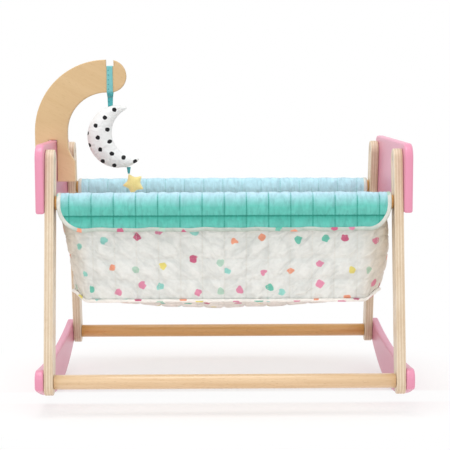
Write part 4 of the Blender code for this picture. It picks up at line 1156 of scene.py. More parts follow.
# %% [markdown]
# ## The cuffs' shape
#
# A cuff is one padded strip: it starts at a seam behind the flap, runs round the
# rail and hangs down outside, where a line of stitches closes the tunnel. A flat
# strip could be draped over the rail by a simulation, but its seams wouldn't end
# up where they are sewn. So the strip is drawn flat, as x along the rail and v
# along its path, and a function carries any point of it, at any height above the
# skin, to its place in space. The skin, the lining and the binding all use it.

# %% The cuff's path
CUFF_HALF = 0.2412
SEAM_RADIUS = 0.0138
FLAP_BACK, START_NUDGE = 0.011, (0.0006, 0.0002)
STITCH_DROP, STITCH_GROOVE, GROOVE_SPREAD = 0.0185, 0.0012, 0.0024
FLAP_DROP, DRAWN_BEYOND = 0.0412, 0.004
PAST_ROUND = 0.06


def cuff_profile():
    """(outward, up) along the path: a tangent from the seam to the round, the
    round over the rail, and straight down with a groove at the stitches."""
    reach = math.hypot(FLAP_BACK, STITCH_DROP)
    leave = math.atan2(-STITCH_DROP, FLAP_BACK) + 2 * math.pi - math.acos(SEAM_RADIUS / reach)
    over = arc((0, 0), SEAM_RADIUS, leave, math.radians(5), 90)
    start = np.array((FLAP_BACK, -STITCH_DROP)) + START_NUDGE
    tangent = start + (over[0] - start) * np.linspace(0, 1, 20)[:-1, None]
    z = np.linspace(over[-1, 1], -FLAP_DROP - DRAWN_BEYOND, 120)[1:]
    out = over[-1, 0] - STITCH_GROOVE * np.exp(-((z + STITCH_DROP) / GROOVE_SPREAD) ** 2)
    return np.concatenate((tangent, over, np.column_stack((out, z))))


def run_along(path):
    """The distance run at each point of a path."""
    return np.concatenate(([0.0], np.cumsum(np.linalg.norm(np.diff(path, axis=0), axis=1))))


profile = cuff_profile()
profile_run = run_along(profile)
slope = np.gradient(profile, profile_run, axis=0)
profile_out = np.column_stack((-slope[:, 1], slope[:, 0]))
hanging = profile_run > PAST_ROUND
V_STITCH, V_END = (float(np.interp(drop, -profile[hanging, 1], profile_run[hanging]))
                   for drop in (STITCH_DROP, FLAP_DROP))
print(f"cuff's path: {V_STITCH * 1000:.1f} mm to the stitches, {V_END * 1000:.1f} mm to the edge")

# %% [markdown]
# A hanging flap is never quite flat. A modifier could wave the finished mesh,
# but then the binding wouldn't follow the cuff. So the waves belong to the
# function that places every point, and the round corners to the flat strip.

# %% From the flat strip to its place
CORNER_ACROSS, CORNER_UP = 0.036, 0.0390
START_DRAWN_IN, START_REACH = 0.0050, 0.026
WAVE_OUT, OUT_WAVES = 0.0009, (0.0143, 0.0079)
WAVE_UP, UP_WAVES = 0.0006, (0.0117, 0.0061)
WAVE_PHASE = 1.3


def on_cuff(face, x, v, h):
    """The point at (x, v), h above the skin: the profile at v plus h times its
    normal, and a slow wave in the flap that grows towards its lower edge. The
    strip's hidden start is drawn in a little at both ends."""
    x = x - START_DRAWN_IN * (x / CUFF_HALF) ** 9 * np.clip(1 - v / START_REACH, 0, 1)
    out, up = (np.interp(v, profile_run, profile[:, n]) + h * np.interp(v, profile_run, profile_out[:, n])
               for n in (0, 1))
    hang = np.clip((v - V_STITCH) / (V_END - V_STITCH), 0, 1.1)
    phase = WAVE_PHASE * face
    flutter = np.sin(x / OUT_WAVES[0] + phase) + 0.6 * np.sin(x / OUT_WAVES[1] - phase)
    ripple = np.sin(x / UP_WAVES[0] + 2 * phase) + 0.7 * np.sin(x / UP_WAVES[1])
    out = out + WAVE_OUT * hang ** 2 * flutter
    up = up + WAVE_UP * hang * ripple
    return np.stack((x, face * (UPPER_RAIL_Y + out), UPPER_RAIL_Z + up), -1)


def flap_end(x, inset=0.0):
    """Where the strip ends at x: its lower edge, with elliptic corners."""
    beyond = np.clip(np.abs(x) - (CUFF_HALF - CORNER_ACROSS), 0, CORNER_ACROSS)
    rise = 1 - np.sqrt(np.clip(1 - (beyond / CORNER_ACROSS) ** 2, 0, 1))
    return V_END - inset - CORNER_UP * rise


def from_edge(x, v):
    """Distance to the strip's ends and lower edge; in a corner, the share left
    of the ellipse's radius times its mean half axis."""
    right, low = np.abs(x) - (CUFF_HALF - CORNER_ACROSS), v - (V_END - CORNER_UP)
    turned = 1 - np.hypot(np.clip(right, 0, None) / CORNER_ACROSS, np.clip(low, 0, None) / CORNER_UP)
    straight = np.minimum(CUFF_HALF - np.abs(x), V_END - v)
    return np.where((right > 0) & (low > 0), turned * (CORNER_ACROSS + CORNER_UP) / 2, straight)


print("a cuff is", round(2 * CUFF_HALF * 1000, 1), "mm long")

# %% [markdown]
# ## Teal cotton
#
# The cuffs are sewn from teal cotton. On the real ones the flap is a full teal,
# darkest just under the stitches, and the cloth over the rail looks pale blue,
# where its fibres take the light from above. Here both are painted into the
# colour: a painted shadow under the stitches and a painted sheen over the rail.
# Such a pallor could come from the angle of view, but it would slide over the
# cloth as one walks round. Here it follows the distance down the strip, so it
# stays where it is.

# %% Teal cotton
TEAL_DEEP, TEAL_FULL, TEAL_SHADOW = (0.105, 0.52, 0.44, 1), (0.14, 0.575, 0.50, 1), (0.035, 0.40, 0.31, 1)
PAINTED_SHEEN_SIDE, PAINTED_SHEEN_TOP = (0.48, 0.71, 0.83, 1), (0.53, 0.82, 0.93, 1)
PAINTED_SHEEN_SPREAD, SHEEN_FADE_SPREAD, SHEEN_FADE_WAVER = (0.062, 0.048), (0.0885, 0.067, 0.0, 0.95), 0.012
SHADOW_START, SHADOW_END = (-0.0012, 0.0), (0.0125, 0.0, 0.0, 0.9)
TEAL_CREASE_SHADE, TEAL_THREAD = (0.30, 0.68, 0.62, 1), (0.02, 0.29, 0.23, 1)
QUILT_THREAD, TUNNEL_THREAD = 0.0009, 0.0022
TEAL_WEAVE, TEAL_SLANT = 0.00045, (4, 190, 55, 0.0022)

teal_cotton, tree, shader = new_material(
    "teal_cotton", Roughness=0.78, Sheen_Weight=0.55, Sheen_Roughness=0.45)
shader.inputs["Sheen Tint"].default_value = (0.80, 0.93, 1.0, 1)
place, along, across = on_cloth(tree)
cloud = noise(tree, place, 28.0, 2.0)
teal = blend_colour(tree, ranged(tree, cloud, 0.3, 0.7), TEAL_DEEP, TEAL_FULL)
# Painted sheen: pale blue over the rail, fading down the strip.
painted_sheen = blend_colour(tree, ranged(tree, across, *PAINTED_SHEEN_SPREAD), PAINTED_SHEEN_SIDE, PAINTED_SHEEN_TOP)
wavering = sums(tree, "ADD", across, sums(tree, "MULTIPLY", cloud, SHEEN_FADE_WAVER))
teal = blend_colour(tree, ranged(tree, wavering, *SHEEN_FADE_SPREAD), teal, painted_sheen)
# Painted shadow just under the stitches.
below = sums(tree, "SUBTRACT", across, V_STITCH)
shadow = sums(tree, "MULTIPLY", ranged(tree, below, *SHADOW_START), ranged(tree, below, *SHADOW_END))
teal = blend_colour(tree, shadow, teal, TEAL_SHADOW)
lower_down = ranged(tree, across, 0.052, 0.070, 0.35, 1.2)
seams = [(across, to_nearest(tree, along, QUILT_PITCH), lower_down, QUILT_THREAD),
         (along, below, 2.4, TUNNEL_THREAD)]
finish_cloth(tree, shader, place, teal, TEAL_WEAVE, seams, TEAL_CREASE_SHADE, TEAL_THREAD, TEAL_SLANT)
print("teal cotton fades from", round(V_STITCH * 1000), "mm up to the rail")

# %% [markdown]
# ## The quilted cuffs
#
# Here the strip gets its padded body. A plane could be cut to the cuff's
# outline, but then the stitched lines would run between the points. So the
# columns are spaced to lie on every seam, and the rows bend with the flap's
# curved edge. Skin and lining share the grid, and the padding between them is
# thin at the two lines of stitches that run along the cuff.

# %% The quilted cuffs
CELL_STEPS = 12
SLEEVE_ROWS, FLAP_ROWS, MARGIN_STEPS = 36, 9, 8
BINDING_WIDTH = 0.0060
EDGE_SHORT, SEAM_SHORT = 0.0008, 0.0022
PAD_THICKNESS, PAD_THINNER, THIN_REACH = 0.0028, 0.0017, 0.003
QUILT_CROWN, QUILT_CAP = 0.0018, 0.0026


def pad_depth(v):
    """Padding's thickness: thin at the two stitched lines."""
    at_stitches = PAD_THINNER * np.exp(-((v - V_STITCH) / THIN_REACH) ** 2)
    at_start = PAD_THINNER * np.exp(-(v / THIN_REACH) ** 2)
    return PAD_THICKNESS - at_stitches - at_start


def cuff_grid():
    """x and v: columns spaced so that one lies on every seam, rows down the
    sleeve to the stitches, then down the flap to its curved edge."""
    seams = int(CUFF_HALF / QUILT_PITCH)
    inner = np.arange(-seams * CELL_STEPS, seams * CELL_STEPS + 1) * QUILT_PITCH / CELL_STEPS
    margin = np.linspace(seams * QUILT_PITCH, CUFF_HALF - EDGE_SHORT, MARGIN_STEPS)[1:]
    xs = np.concatenate((-margin[::-1], inner, margin))
    seam_v = np.minimum(V_STITCH, flap_end(xs, SEAM_SHORT))
    sleeve = np.linspace(0, 1, SLEEVE_ROWS + 1)[:-1, None] * seam_v
    flap = seam_v + np.linspace(0, 1, FLAP_ROWS + 1)[:, None] * (flap_end(xs, EDGE_SHORT) - seam_v)
    v = np.concatenate((sleeve, flap))
    return np.broadcast_to(xs, v.shape), v


def cuff(name, face):
    """The skin, swollen between its seams, over a lining one padding lower."""
    x, v = cuff_grid()
    near_seam = np.isclose(np.mod(x / QUILT_PITCH + 0.5, 1), 0.5, atol=0.01)
    beside = from_edge(x, v) < BINDING_WIDTH + EDGE_SHORT
    held = near_seam | beside | (v <= 0) | np.isclose(v, V_STITCH)
    skin = on_cuff(face, x, v, 0.0)
    outer = swell(skin, (False, False), -face, held, QUILT_CAP)
    lining = on_cuff(face, x, v, -pad_depth(v))
    made = padded_shell(name, outer, lining, teal_cotton, False, np.stack((x, v), -1))
    return made


for face_name, face in FACES:
    place_on(cuff("quilted_cuff_" + face_name, face), "bed", "teal_cotton", "cuff_" + face_name)

# %% [markdown]
# ## The printed binding
#
# A strip of the printed cotton is folded over the cuff's edge: across one end,
# along the flap and up the other end. A bevelled curve could lie along the edge,
# but it would be a round cord. So the line is drawn on the flat strip, and the
# binding's closed profile is carried along it: over the outer skin, round the
# edge and back under the lining.

# %% The binding's line and profile
BINDING_SWELL, BINDING_CLEAR = 0.0011, 0.0003
EDGE_RADIUS, CLOTH_THICKNESS = 0.0016, 0.0005
CORNER_STEPS, END_STEPS, EDGE_STEPS, FLAT_STEPS = 26, 44, 200, 7
CRIMP, CRIMP_WAVES = 0.00022, (0.0019, 0.0013)


def binding_line():
    """(x, v) along the cuff's edge, the distance run, and the directions into
    the cuff."""
    corner = arc((0, 0), 1, 0, np.pi / 2, CORNER_STEPS) * (CORNER_ACROSS, CORNER_UP)
    right = corner[::-1] + (CUFF_HALF - CORNER_ACROSS, V_END - CORNER_UP)
    down = np.linspace(V_END - CORNER_UP, 0, END_STEPS + 1)[1:]
    half = np.concatenate((right, np.column_stack((np.full(END_STEPS, CUFF_HALF), down))))
    lower = np.linspace(-1, 1, EDGE_STEPS)[1:-1] * (CUFF_HALF - CORNER_ACROSS)
    lower = np.column_stack((lower, np.full(len(lower), V_END)))
    line = np.concatenate((half[::-1] * (-1, 1), lower, half))
    run = run_along(line)
    along = np.gradient(line, run, axis=0)
    along /= np.linalg.norm(along, axis=1, keepdims=True)
    return line, run, np.column_stack((along[:, 1], -along[:, 0]))


def binding_profile():
    """Over the cuff, round the edge and under the lining: the distance inwards,
    the side from 1 to -1, how much it is on the round, and how full it is."""
    q = np.linspace(0, 1, FLAT_STEPS)
    a = np.linspace(np.pi / 2, -np.pi / 2, FLAT_STEPS)[1:-1]
    flat_part = BINDING_WIDTH + (EDGE_RADIUS - BINDING_WIDTH) * q
    inset = np.concatenate((flat_part, EDGE_RADIUS * (1 - np.cos(a)), flat_part[::-1]))
    rise = np.concatenate((np.ones(FLAT_STEPS), np.sin(a), -np.ones(FLAT_STEPS)))
    round_share = np.concatenate((np.zeros(FLAT_STEPS), np.cos(a), np.zeros(FLAT_STEPS)))
    crown = np.sin(np.pi * (0.12 + 0.6 * q))
    return inset, rise, round_share, np.concatenate((crown, np.cos(a) * 0.6, crown[::-1]))


print(f"a binding is {binding_line()[1][-1] * 1000:.0f} mm long")

# %% [markdown]
# The folded strip has an outer and an inner skin, a cloth's thickness apart.
# Solidify could give that thickness, but in the tight fold its skins would
# cross. So both come from the profile, and the strip's flat width and length
# are measured on them.

# %% Bindings


def binding(name, face):
    """A folded strip: an outer skin along the line, and an inner skin a cloth's
    thickness further in."""
    line, run, inwards = binding_line()
    inset, rise, round_share, puff = binding_profile()
    wave = np.sin(run / CRIMP_WAVES[0]) + np.sin(run / CRIMP_WAVES[1] + 1)
    crimp = CRIMP * wave[:, None] * np.sign(rise) * puff
    skins = []
    for depth_in in (0.0, CLOTH_THICKNESS):
        reach = inset + depth_in * round_share
        x = line[:, :1] + inwards[:, :1] * reach
        v = np.clip(line[:, 1:] + inwards[:, 1:] * reach, 0, None)
        half = pad_depth(v) / 2
        lift = half + BINDING_CLEAR + (BINDING_SWELL - BINDING_CLEAR) * puff - depth_in
        skins.append(on_cuff(face, x, v, rise * lift - half + crimp))
    grid = np.concatenate((skins[0], skins[1][:, ::-1]), 1)
    across = run_length(skins[0], 1, False)
    across = np.concatenate((across, across[::-1], across[:1]))
    uv = np.stack(np.meshgrid(across, run)[::-1], -1)
    made = surface(name, grid, printed_binding, (False, True), True, uv, SOFT_ANGLE)
    return made


for face_name, face in FACES:
    place_on(binding("cuff_binding_" + face_name, face), "bed", "printed_cotton", "cuff_hem_" + face_name,
             f"cuff_band_{face_name}_left", f"cuff_band_{face_name}_right")

# %% [markdown]
# ## The basket's walls
#
# The four walls are sewn into one padded ring with soft corners, quilted in
# squares. Four flat panels could be made and joined, but their corners would
# have to be matched by hand. In a ring each row is a rectangle with round
# corners, a little larger towards the top. Columns are counted in quilt cells,
# so a seam always lies on a column, and the corners take up what the taper
# leaves.

# %% The ring's plan
WALL_HALF_X, WALL_HALF_Y = 0.2365, 0.1503
WALL_CORNER = 0.022
QUARTER, FRONT_CELLS, END_CELLS = CELLS_ROUND // 4, 6, 3
CORNER_CELLS = QUARTER - FRONT_CELLS - END_CELLS


def quarter_ring(t, half_x, half_y):
    """From the middle of the front to the middle of an end, t in cells: even
    pitches, then a straight, an arc and a straight by length, then pitches."""
    fixed_x, fixed_y = FRONT_CELLS * QUILT_PITCH, END_CELLS * QUILT_PITCH
    first = half_x - WALL_CORNER - fixed_x
    bend = np.pi / 2 * WALL_CORNER
    last = half_y - WALL_CORNER - fixed_y
    s = (t - FRONT_CELLS) / CORNER_CELLS * (first + bend + last)
    a = np.clip((s - first) / WALL_CORNER, 0, np.pi / 2)
    after = np.clip(s - first - bend, 0, None)
    x = np.where(s < first, fixed_x + s, half_x - WALL_CORNER + WALL_CORNER * np.sin(a))
    y = -half_y + WALL_CORNER - WALL_CORNER * np.cos(a) + after
    beyond = t - FRONT_CELLS - CORNER_CELLS
    x = np.where(t < FRONT_CELLS, t * QUILT_PITCH, np.where(beyond > 0, half_x, x))
    y = np.where(t < FRONT_CELLS, -half_y, np.where(beyond > 0, beyond * QUILT_PITCH - fixed_y, y))
    return x, y


def ring_point(t, half_x, half_y):
    """The same for the whole ring: four quarters mirrored from the first."""
    lap = np.mod(t, CELLS_ROUND)
    back = np.mod(lap, 2 * QUARTER)
    x, y = quarter_ring(np.where(back > QUARTER, 2 * QUARTER - back, back), half_x, half_y)
    rear = (lap > QUARTER) & (lap < 3 * QUARTER)
    return np.where(lap > 2 * QUARTER, -x, x), np.where(rear, -y, y)


print("the ring has", CELLS_ROUND, "cells,", CORNER_CELLS, "of them round each corner")

# %% [markdown]
# Seen from the front, the basket isn't even: its foot rises at the corners, and
# its right end hangs fuller than its left. A lattice could bend it so, but two
# short formulas also serve the bottom and the piping, which then fit the walls.

# %% The ring's height and fullness
WALL_TOP, WALL_FOOT, END_DIP = 0.2837, 0.1570, 0.015
WALL_TAPER_X, WALL_TAPER_Y = 0.0155, 0.0233
CORNER_RISE, RISE_MIDDLE, RISE_BEFORE, RISE_AFTER = 0.013, 0.62, 1.35, 3.4
FULLER, FULLER_FROM_Y = 0.0095, 0.1


def foot_rise(t):
    """The foot's seam rises round the corners, more towards the ends."""
    lap = np.mod(t, 2 * QUARTER)
    fold = np.where(lap > QUARTER, 2 * QUARTER - lap, lap)
    off = fold - (FRONT_CELLS + RISE_MIDDLE * CORNER_CELLS)
    off = np.where(off > 0, off / RISE_AFTER, off / RISE_BEFORE)
    return CORNER_RISE * np.clip(1 - off ** 2, 0, 1) ** 2


def sideways(y):
    """The share of the fullness: about a third in an end's middle, whole near
    its corners."""
    return 0.35 + 0.65 * np.clip(np.abs(y) / FULLER_FROM_Y, 0, 1) ** 2


def fuller(x, y, share=0.0):
    """The right end's corners hang further out than the left's, by a share
    that is less in the end's middle and nought at the top."""
    return x + FULLER * sideways(y) * (1 - share ** 3) * np.clip(x / WALL_HALF_X, 0, 1) ** 5


def wall_ring(t, share):
    """A point of the walls at a share of their height: the ring for that
    height, with the ends' hollow upper edge and the risen corners."""
    half_x = WALL_HALF_X - WALL_TAPER_X * (1 - share)
    half_y = WALL_HALF_Y - WALL_TAPER_Y * (1 - share)
    x, y = ring_point(t, half_x, half_y)
    top = WALL_TOP - END_DIP * (1 - np.clip(np.abs(y) / half_y, 0, 1) ** 2) * (np.abs(x) > WALL_HALF_X / 2)
    foot = WALL_FOOT + foot_rise(t)
    return np.stack((fuller(x, y, share), y, foot + (top - foot) * share), -1)


print("walls stand from", WALL_FOOT * 1000, "to", WALL_TOP * 1000, "mm")

# %% [markdown]
# Now the ring becomes padded walls. Sculpted by hand, the cloth would be too
# tight in one place and too slack in another. Here the rest shape gets a slow
# wave, so that no panel is dead flat, and a fuller swing at the right end. Then
# the cloth is blown up between its seams, and a lining is laid inside it.

# %% Quilted walls
WALL_CELLS_UP = 4
SLACK, RIGHT_SLACK = 0.0011, 0.0050
WALL_PAD, WALL_PAD_CROWN = 0.0036, 0.0012

columns = CELLS_ROUND * CELL_STEPS
rows = WALL_CELLS_UP * CELL_STEPS + 1
t = np.broadcast_to(np.arange(columns) / CELL_STEPS, (rows, columns))
share = np.broadcast_to(np.linspace(0, 1, rows)[:, None], (rows, columns))
seam_skin = wall_ring(t, share)
normal = facing_out(seam_skin, (False, True), -1.0)
slack = SLACK * np.sin(np.pi * share) * (np.sin(t * 0.9 + 2.0 * share) + np.sin(t * 0.43 + 1.0))
bulge = np.clip(seam_skin[..., 0] / WALL_HALF_X, 0, 1) ** 6 * sideways(seam_skin[..., 1])
slack = slack + RIGHT_SLACK * np.sin(np.pi * share ** 0.7) * bulge
seam_skin = seam_skin + normal * slack[..., None]
up = share * WALL_CELLS_UP
held = (np.arange(columns) % CELL_STEPS == 0)[None, :] | (np.arange(rows) % CELL_STEPS == 0)[:, None]
pillow = pillow_between(t, up)
outer = swell(seam_skin, (False, True), -1.0, held, QUILT_CAP)
inner = seam_skin - normal * (WALL_PAD + WALL_PAD_CROWN * pillow)[..., None]
t_uv = np.broadcast_to(np.arange(columns + 1) / CELL_STEPS, (rows, columns + 1))
uv = np.stack((t_uv * QUILT_PITCH, np.broadcast_to(up[:, :1] * QUILT_PITCH, (rows, columns + 1))), -1)
walls = padded_shell("quilted_walls", outer, inner, printed_cotton, True, uv)
place_on(walls, "bed", "printed_cotton", "basket_front", "basket_rear", "basket_end_left", "basket_end_right")
print("walls:", rows, "by", columns, "points")

# %% [markdown]
# ## The bottom
#
# The bottom is a padded panel that sags between the walls' feet. Its outline
# could be filled with triangles, but cloth creases more evenly on rows and
# columns. Here the plan is the ring at the foot, and rows across it are shortened
# near the ends, so that the corners come out round. Soft folds run in from the
# long seams.

# %% The bottom
BOTTOM_SAG, BOTTOM_IN = 0.027, 0.003
BOTTOM_COLUMNS, BOTTOM_ROWS = 169, 97
RISE_REACH = 0.026
FOLD_DEPTH, FOLD_WAVES = 0.0016, (0.019, 0.047)
SEWN_WITHIN = 0.0014
BOTTOM_CROWN, BOTTOM_CAP = 0.0016, 0.0024
BOTTOM_PAD, BOTTOM_PAD_CROWN = 0.0034, 0.0012
BOTTOM_ON_CLOTH = 0.2


def rim_rise(x, y, half_x, half_y):
    """The foot's rise at the nearest point of the rim, dying out inwards."""
    past_x, past_y = np.abs(x) - FRONT_CELLS * QUILT_PITCH, np.abs(y) - END_CELLS * QUILT_PITCH
    turned_by = np.arctan2(np.clip(past_x, 0, None), np.clip(past_y, 1e-6, None)) / (np.pi / 2)
    at_end = np.where(past_y < 0, QUARTER - np.abs(y) / QUILT_PITCH, FRONT_CELLS + CORNER_CELLS * turned_by)
    t = np.where(past_x < 0, np.abs(x) / QUILT_PITCH, at_end)
    corner_x, corner_y = np.abs(x) - half_x + WALL_CORNER, np.abs(y) - half_y + WALL_CORNER
    inwards = np.where((corner_x > 0) & (corner_y > 0), WALL_CORNER - np.hypot(corner_x, corner_y),
                       np.minimum(half_x - np.abs(x), half_y - np.abs(y)))
    return foot_rise(t) * np.clip(1 - inwards / RISE_REACH, 0, 1) ** 2


def bottom_grid():
    """x = u X(y) and y = Y sin(v pi / 2), with X(y) the half length that the
    round corners leave; height = foot + rise - sag (1 - |u|^3)(1 - s^2) + folds,
    where s = sin(v pi / 2)."""
    half_x, half_y = WALL_HALF_X - WALL_TAPER_X - BOTTOM_IN, WALL_HALF_Y - WALL_TAPER_Y - BOTTOM_IN
    u = np.linspace(-1, 1, BOTTOM_COLUMNS)[None, :]
    side = np.sin(np.linspace(-1, 1, BOTTOM_ROWS) * np.pi / 2)[:, None]
    y = half_y * side
    beyond = np.clip(np.abs(y) - (half_y - WALL_CORNER), 0, WALL_CORNER)
    x = u * (half_x - WALL_CORNER + np.sqrt(WALL_CORNER ** 2 - beyond ** 2))
    y = np.broadcast_to(y, x.shape)
    sag = BOTTOM_SAG * (1 - np.abs(u) ** 3) * (1 - side ** 2)
    long, short = np.sin(x / FOLD_WAVES[0] + 2.5 * side), np.cos(x / FOLD_WAVES[1])
    folds = FOLD_DEPTH * (1 - side ** 2) * (1 - u ** 4) * long * short
    height = WALL_FOOT + rim_rise(x, y, half_x, half_y) - sag + folds
    return np.stack((fuller(x, y), y, height), -1)


below = bottom_grid()
cell = np.abs(np.mod(below[..., :2] / QUILT_PITCH + 0.5, 1) - 0.5) * QUILT_PITCH
held = (cell < SEWN_WITHIN).any(-1)
held[[0, -1]] = held[:, [0, -1]] = True
pillow = pillow_between(below[..., 0] / QUILT_PITCH, below[..., 1] / QUILT_PITCH)
pillow[[0, -1]] = pillow[:, [0, -1]] = 0
outer = swell(below, (False, False), 1.0, held, BOTTOM_CAP)
depth = BOTTOM_PAD + BOTTOM_PAD_CROWN * pillow
inner = below - facing_out(below, (False, False), 1.0) * depth[..., None]
uv = below[..., :2] + BOTTOM_ON_CLOTH
bottom = padded_shell("quilted_bottom", outer, inner, printed_cotton, False, uv)
place_on(bottom, "bed", "printed_cotton", "basket_bottom")
print("bottom: lowest at", round(float(outer[..., 2].min()) * 1000, 1), "mm")

# %% [markdown]
# ## The piping
#
# A cord covered with the printed cotton is sewn into the seam between the walls
# and the bottom. A bevelled curve could draw it, but its cloth would have no map
# in metres. So a circle is carried round the foot of the walls, a little out
# from the seam. Sewn piping is never quite even, so its radius wavers.

# %% The piping
PIPING_RADIUS, PIPING_OUT, PIPING_LOWER = 0.0025, 0.0031, -0.0006
PIPING_STEPS, PIPING_SIDES = 384, 14


def piping(name):
    """A tube round the foot's seam: route + r (cos a out + sin a up)."""
    t = np.arange(PIPING_STEPS) * CELLS_ROUND / PIPING_STEPS
    route = wall_ring(t, np.zeros(PIPING_STEPS))
    ahead = np.roll(route, -1, 0) - np.roll(route, 1, 0)
    out = np.column_stack((ahead[:, 1], -ahead[:, 0], np.zeros(PIPING_STEPS)))
    out /= np.linalg.norm(out, axis=1, keepdims=True)
    route = route + out * PIPING_OUT + (0, 0, PIPING_LOWER)
    a = np.linspace(0, 2 * np.pi, PIPING_SIDES, endpoint=False)[:, None, None]
    radius = PIPING_RADIUS * (1 + 0.05 * np.sin(t * 2.7) + 0.04 * np.sin(t * 7.1))[:, None]
    grid = route + radius * (np.cos(a) * out + np.sin(a) * (0, 0, 1))
    return surface(name, grid, printed_binding, (True, True), False, None, SOFT_ANGLE)


place_on(piping("seam_piping"), "bed", "printed_cotton", "bottom_piping")
print("piping is", 2 * PIPING_RADIUS * 1000, "mm round")

# %% [markdown]
# ## Ribbons
#
# A flat teal ribbon lies over the slot's floor, goes down both faces of the arm
# and is gathered below it; a short tail leads on to the moon. A plane given a
# thickness would have square edges, which a folded ribbon hasn't. So a flat oval
# is carried along a path in the plane across the bed. The ribbon's finish has
# fine ribs across, dark dots beside its middle, and painted shade below the arm,
# at the gather.

# %% Teal ribbon
RIBBON_LIGHT, RIBBON_DARK = (0.14, 0.455, 0.46, 1), (0.19, 0.52, 0.53, 1)
RIBBON_SHADE, RIBBON_SHADE_Z = (0.055, 0.40, 0.42, 1), (0.463, 0.458)
RIBBON_DOT, DOT_ASIDE, DOT_STEP, DOT_FADE = (0.02, 0.20, 0.22, 1), 0.0021, 0.0036, (0.0012, 0.0008)
RIB_PITCH, RIB_DEPTH = 0.0009, 0.0002


def far_from(tree, u, v):
    """The distance from a centre, from its two parts."""
    squares = sums(tree, "ADD", sums(tree, "POWER", u, 2.0), sums(tree, "POWER", v, 2.0))
    return sums(tree, "SQRT", squares)


teal_ribbon, tree, shader = new_material("teal_ribbon", Roughness=0.5, Sheen_Weight=0.4, Sheen_Roughness=0.35)
place, along, across = on_cloth(tree)
ribs = sums(tree, "SINE", sums(tree, "MULTIPLY", across, 2 * math.pi / RIB_PITCH))
from_dot = far_from(tree, sums(tree, "ADD", along, DOT_ASIDE), sums(tree, "PINGPONG", across, DOT_STEP))
dot = ranged(tree, from_dot, *DOT_FADE)
cloud = ranged(tree, noise(tree, place, 120.0, 2.0), 0.3, 0.7)
colour = blend_colour(tree, cloud, RIBBON_LIGHT, RIBBON_DARK)
# Painted shade: the ribbon is deeper below the arm, at the gather.
low = ranged(tree, parts_of(tree, on_bed(tree))["Z"], *RIBBON_SHADE_Z)
colour = blend_colour(tree, low, colour, RIBBON_SHADE)
colour = blend_colour(tree, sums(tree, "MULTIPLY", dot, 0.85), colour, RIBBON_DOT)
height = sums(tree, "SUBTRACT", sums(tree, "MULTIPLY", ribs, 0.5), dot)
finish(tree, shader, Base_Color=colour, Normal=relief(tree, height, 0.4, RIB_DEPTH))
print("ribbon look:", teal_ribbon.name)

# %% A ribbon along a path
RIBBON_SIDES = 20


def ribbon(name, path, half_width, middle_x, half_thick):
    """Profile: a flat oval, x = w cos a, thickness t sin a pushed to a box-like
    shape. It goes along the (y, z) path, whose normals carry the thickness."""
    path = np.asarray(path, float)
    run = run_along(path)
    ahead = np.gradient(path, run, axis=0)
    ahead /= np.linalg.norm(ahead, axis=1, keepdims=True)
    side = np.column_stack((ahead[:, 1], -ahead[:, 0]))
    a = np.linspace(0, 2 * np.pi, RIBBON_SIDES, endpoint=False)
    wide = np.sign(np.cos(a)) * np.abs(np.cos(a)) ** 0.35
    thick = np.sign(np.sin(a)) * np.abs(np.sin(a)) ** 0.7 * half_thick
    across = np.broadcast_to(half_width, run.shape)[:, None] * wide
    grid = np.stack((middle_x + across, path[:, :1] + side[:, :1] * thick,
                     path[:, 1:] + side[:, 1:] * thick), -1)
    closed = np.concatenate((across, across[:, :1]), 1)
    uv = np.stack((closed, np.broadcast_to(run[:, None], closed.shape)), -1)
    return surface(name, grid, teal_ribbon, (False, True), True, uv, SOFT_ANGLE)


def smooth_path(corners, rounding, steps=6):
    """A path through corners, each cut by a quadratic curve."""
    corners = np.asarray(corners, float)
    share = np.linspace(0, 1, steps)[:, None]
    parts = [corners[:1]]
    for before, corner, after in zip(corners, corners[1:], corners[2:]):
        start = corner + (before - corner) * min(0.45, rounding / np.linalg.norm(before - corner))
        end = corner + (after - corner) * min(0.45, rounding / np.linalg.norm(after - corner))
        parts.append((1 - share) ** 2 * start + 2 * share * (1 - share) * corner + share ** 2 * end)
    return np.concatenate(parts + [corners[-1:]])


print("a ribbon has", RIBBON_SIDES, "points round")

# %% [markdown]
# The ribbon could be simulated as a falling strip, but it hangs under tension.
# So its path is straight between the places that hold it, with small rounded
# bends over the slot's floor. The tail belongs to the moon's body and swings
# with it.

# %% The ribbon over the arm and the tail to the moon
GATHER_Z, BESIDE_Z = 0.4528, 0.481
LOOP_HALF_THICK, TAIL_HALF_THICK = 0.00045, 0.0008
RIBBON_LIFT, UNDER_LIFT, PATH_ROUNDING = 0.0008, 0.001, 0.0022
GATHER_HALF, GATHER_LIFT = 0.0006, 0.0002
LOOP_WIDTHS = (0.0043, 0.0048, 0.0047, 0.0046)
TAIL_WIDTHS, TAIL_START, TAIL_IN, TAIL_STEPS = (0.0043, 0.0037), 0.0004, 0.0030, 10
TAIL_SWAY, SWAY_WAVE = 0.0002, 0.0011
ARM_UNDERSIDE = BOW_Z + ARM_RADIUS - ARM_WIDTH
MOON_X, MOON_Z, MOON_RADIUS = -0.16096, 0.39272, 0.0495

face_y = ARM_THICKNESS / 2 + RIBBON_LIFT
half_path = [(GATHER_HALF, GATHER_Z + GATHER_LIFT), (face_y, ARM_UNDERSIDE + UNDER_LIFT),
             (face_y, BESIDE_Z), (face_y, SLOT_FLOOR + RIBBON_LIFT)]
loop_path = smooth_path([(-y, z) for y, z in half_path] + half_path[::-1], PATH_ROUNDING)
heights = (GATHER_Z, ARM_UNDERSIDE, SLOT_FLOOR - 0.02, SLOT_FLOOR)
loop_width = np.interp(loop_path[:, 1], heights, LOOP_WIDTHS)
strap = ribbon("arm_ribbon", loop_path, loop_width, TIP_X, LOOP_HALF_THICK)
place_on(strap, "arm", "teal_ribbon", "strap_loop")

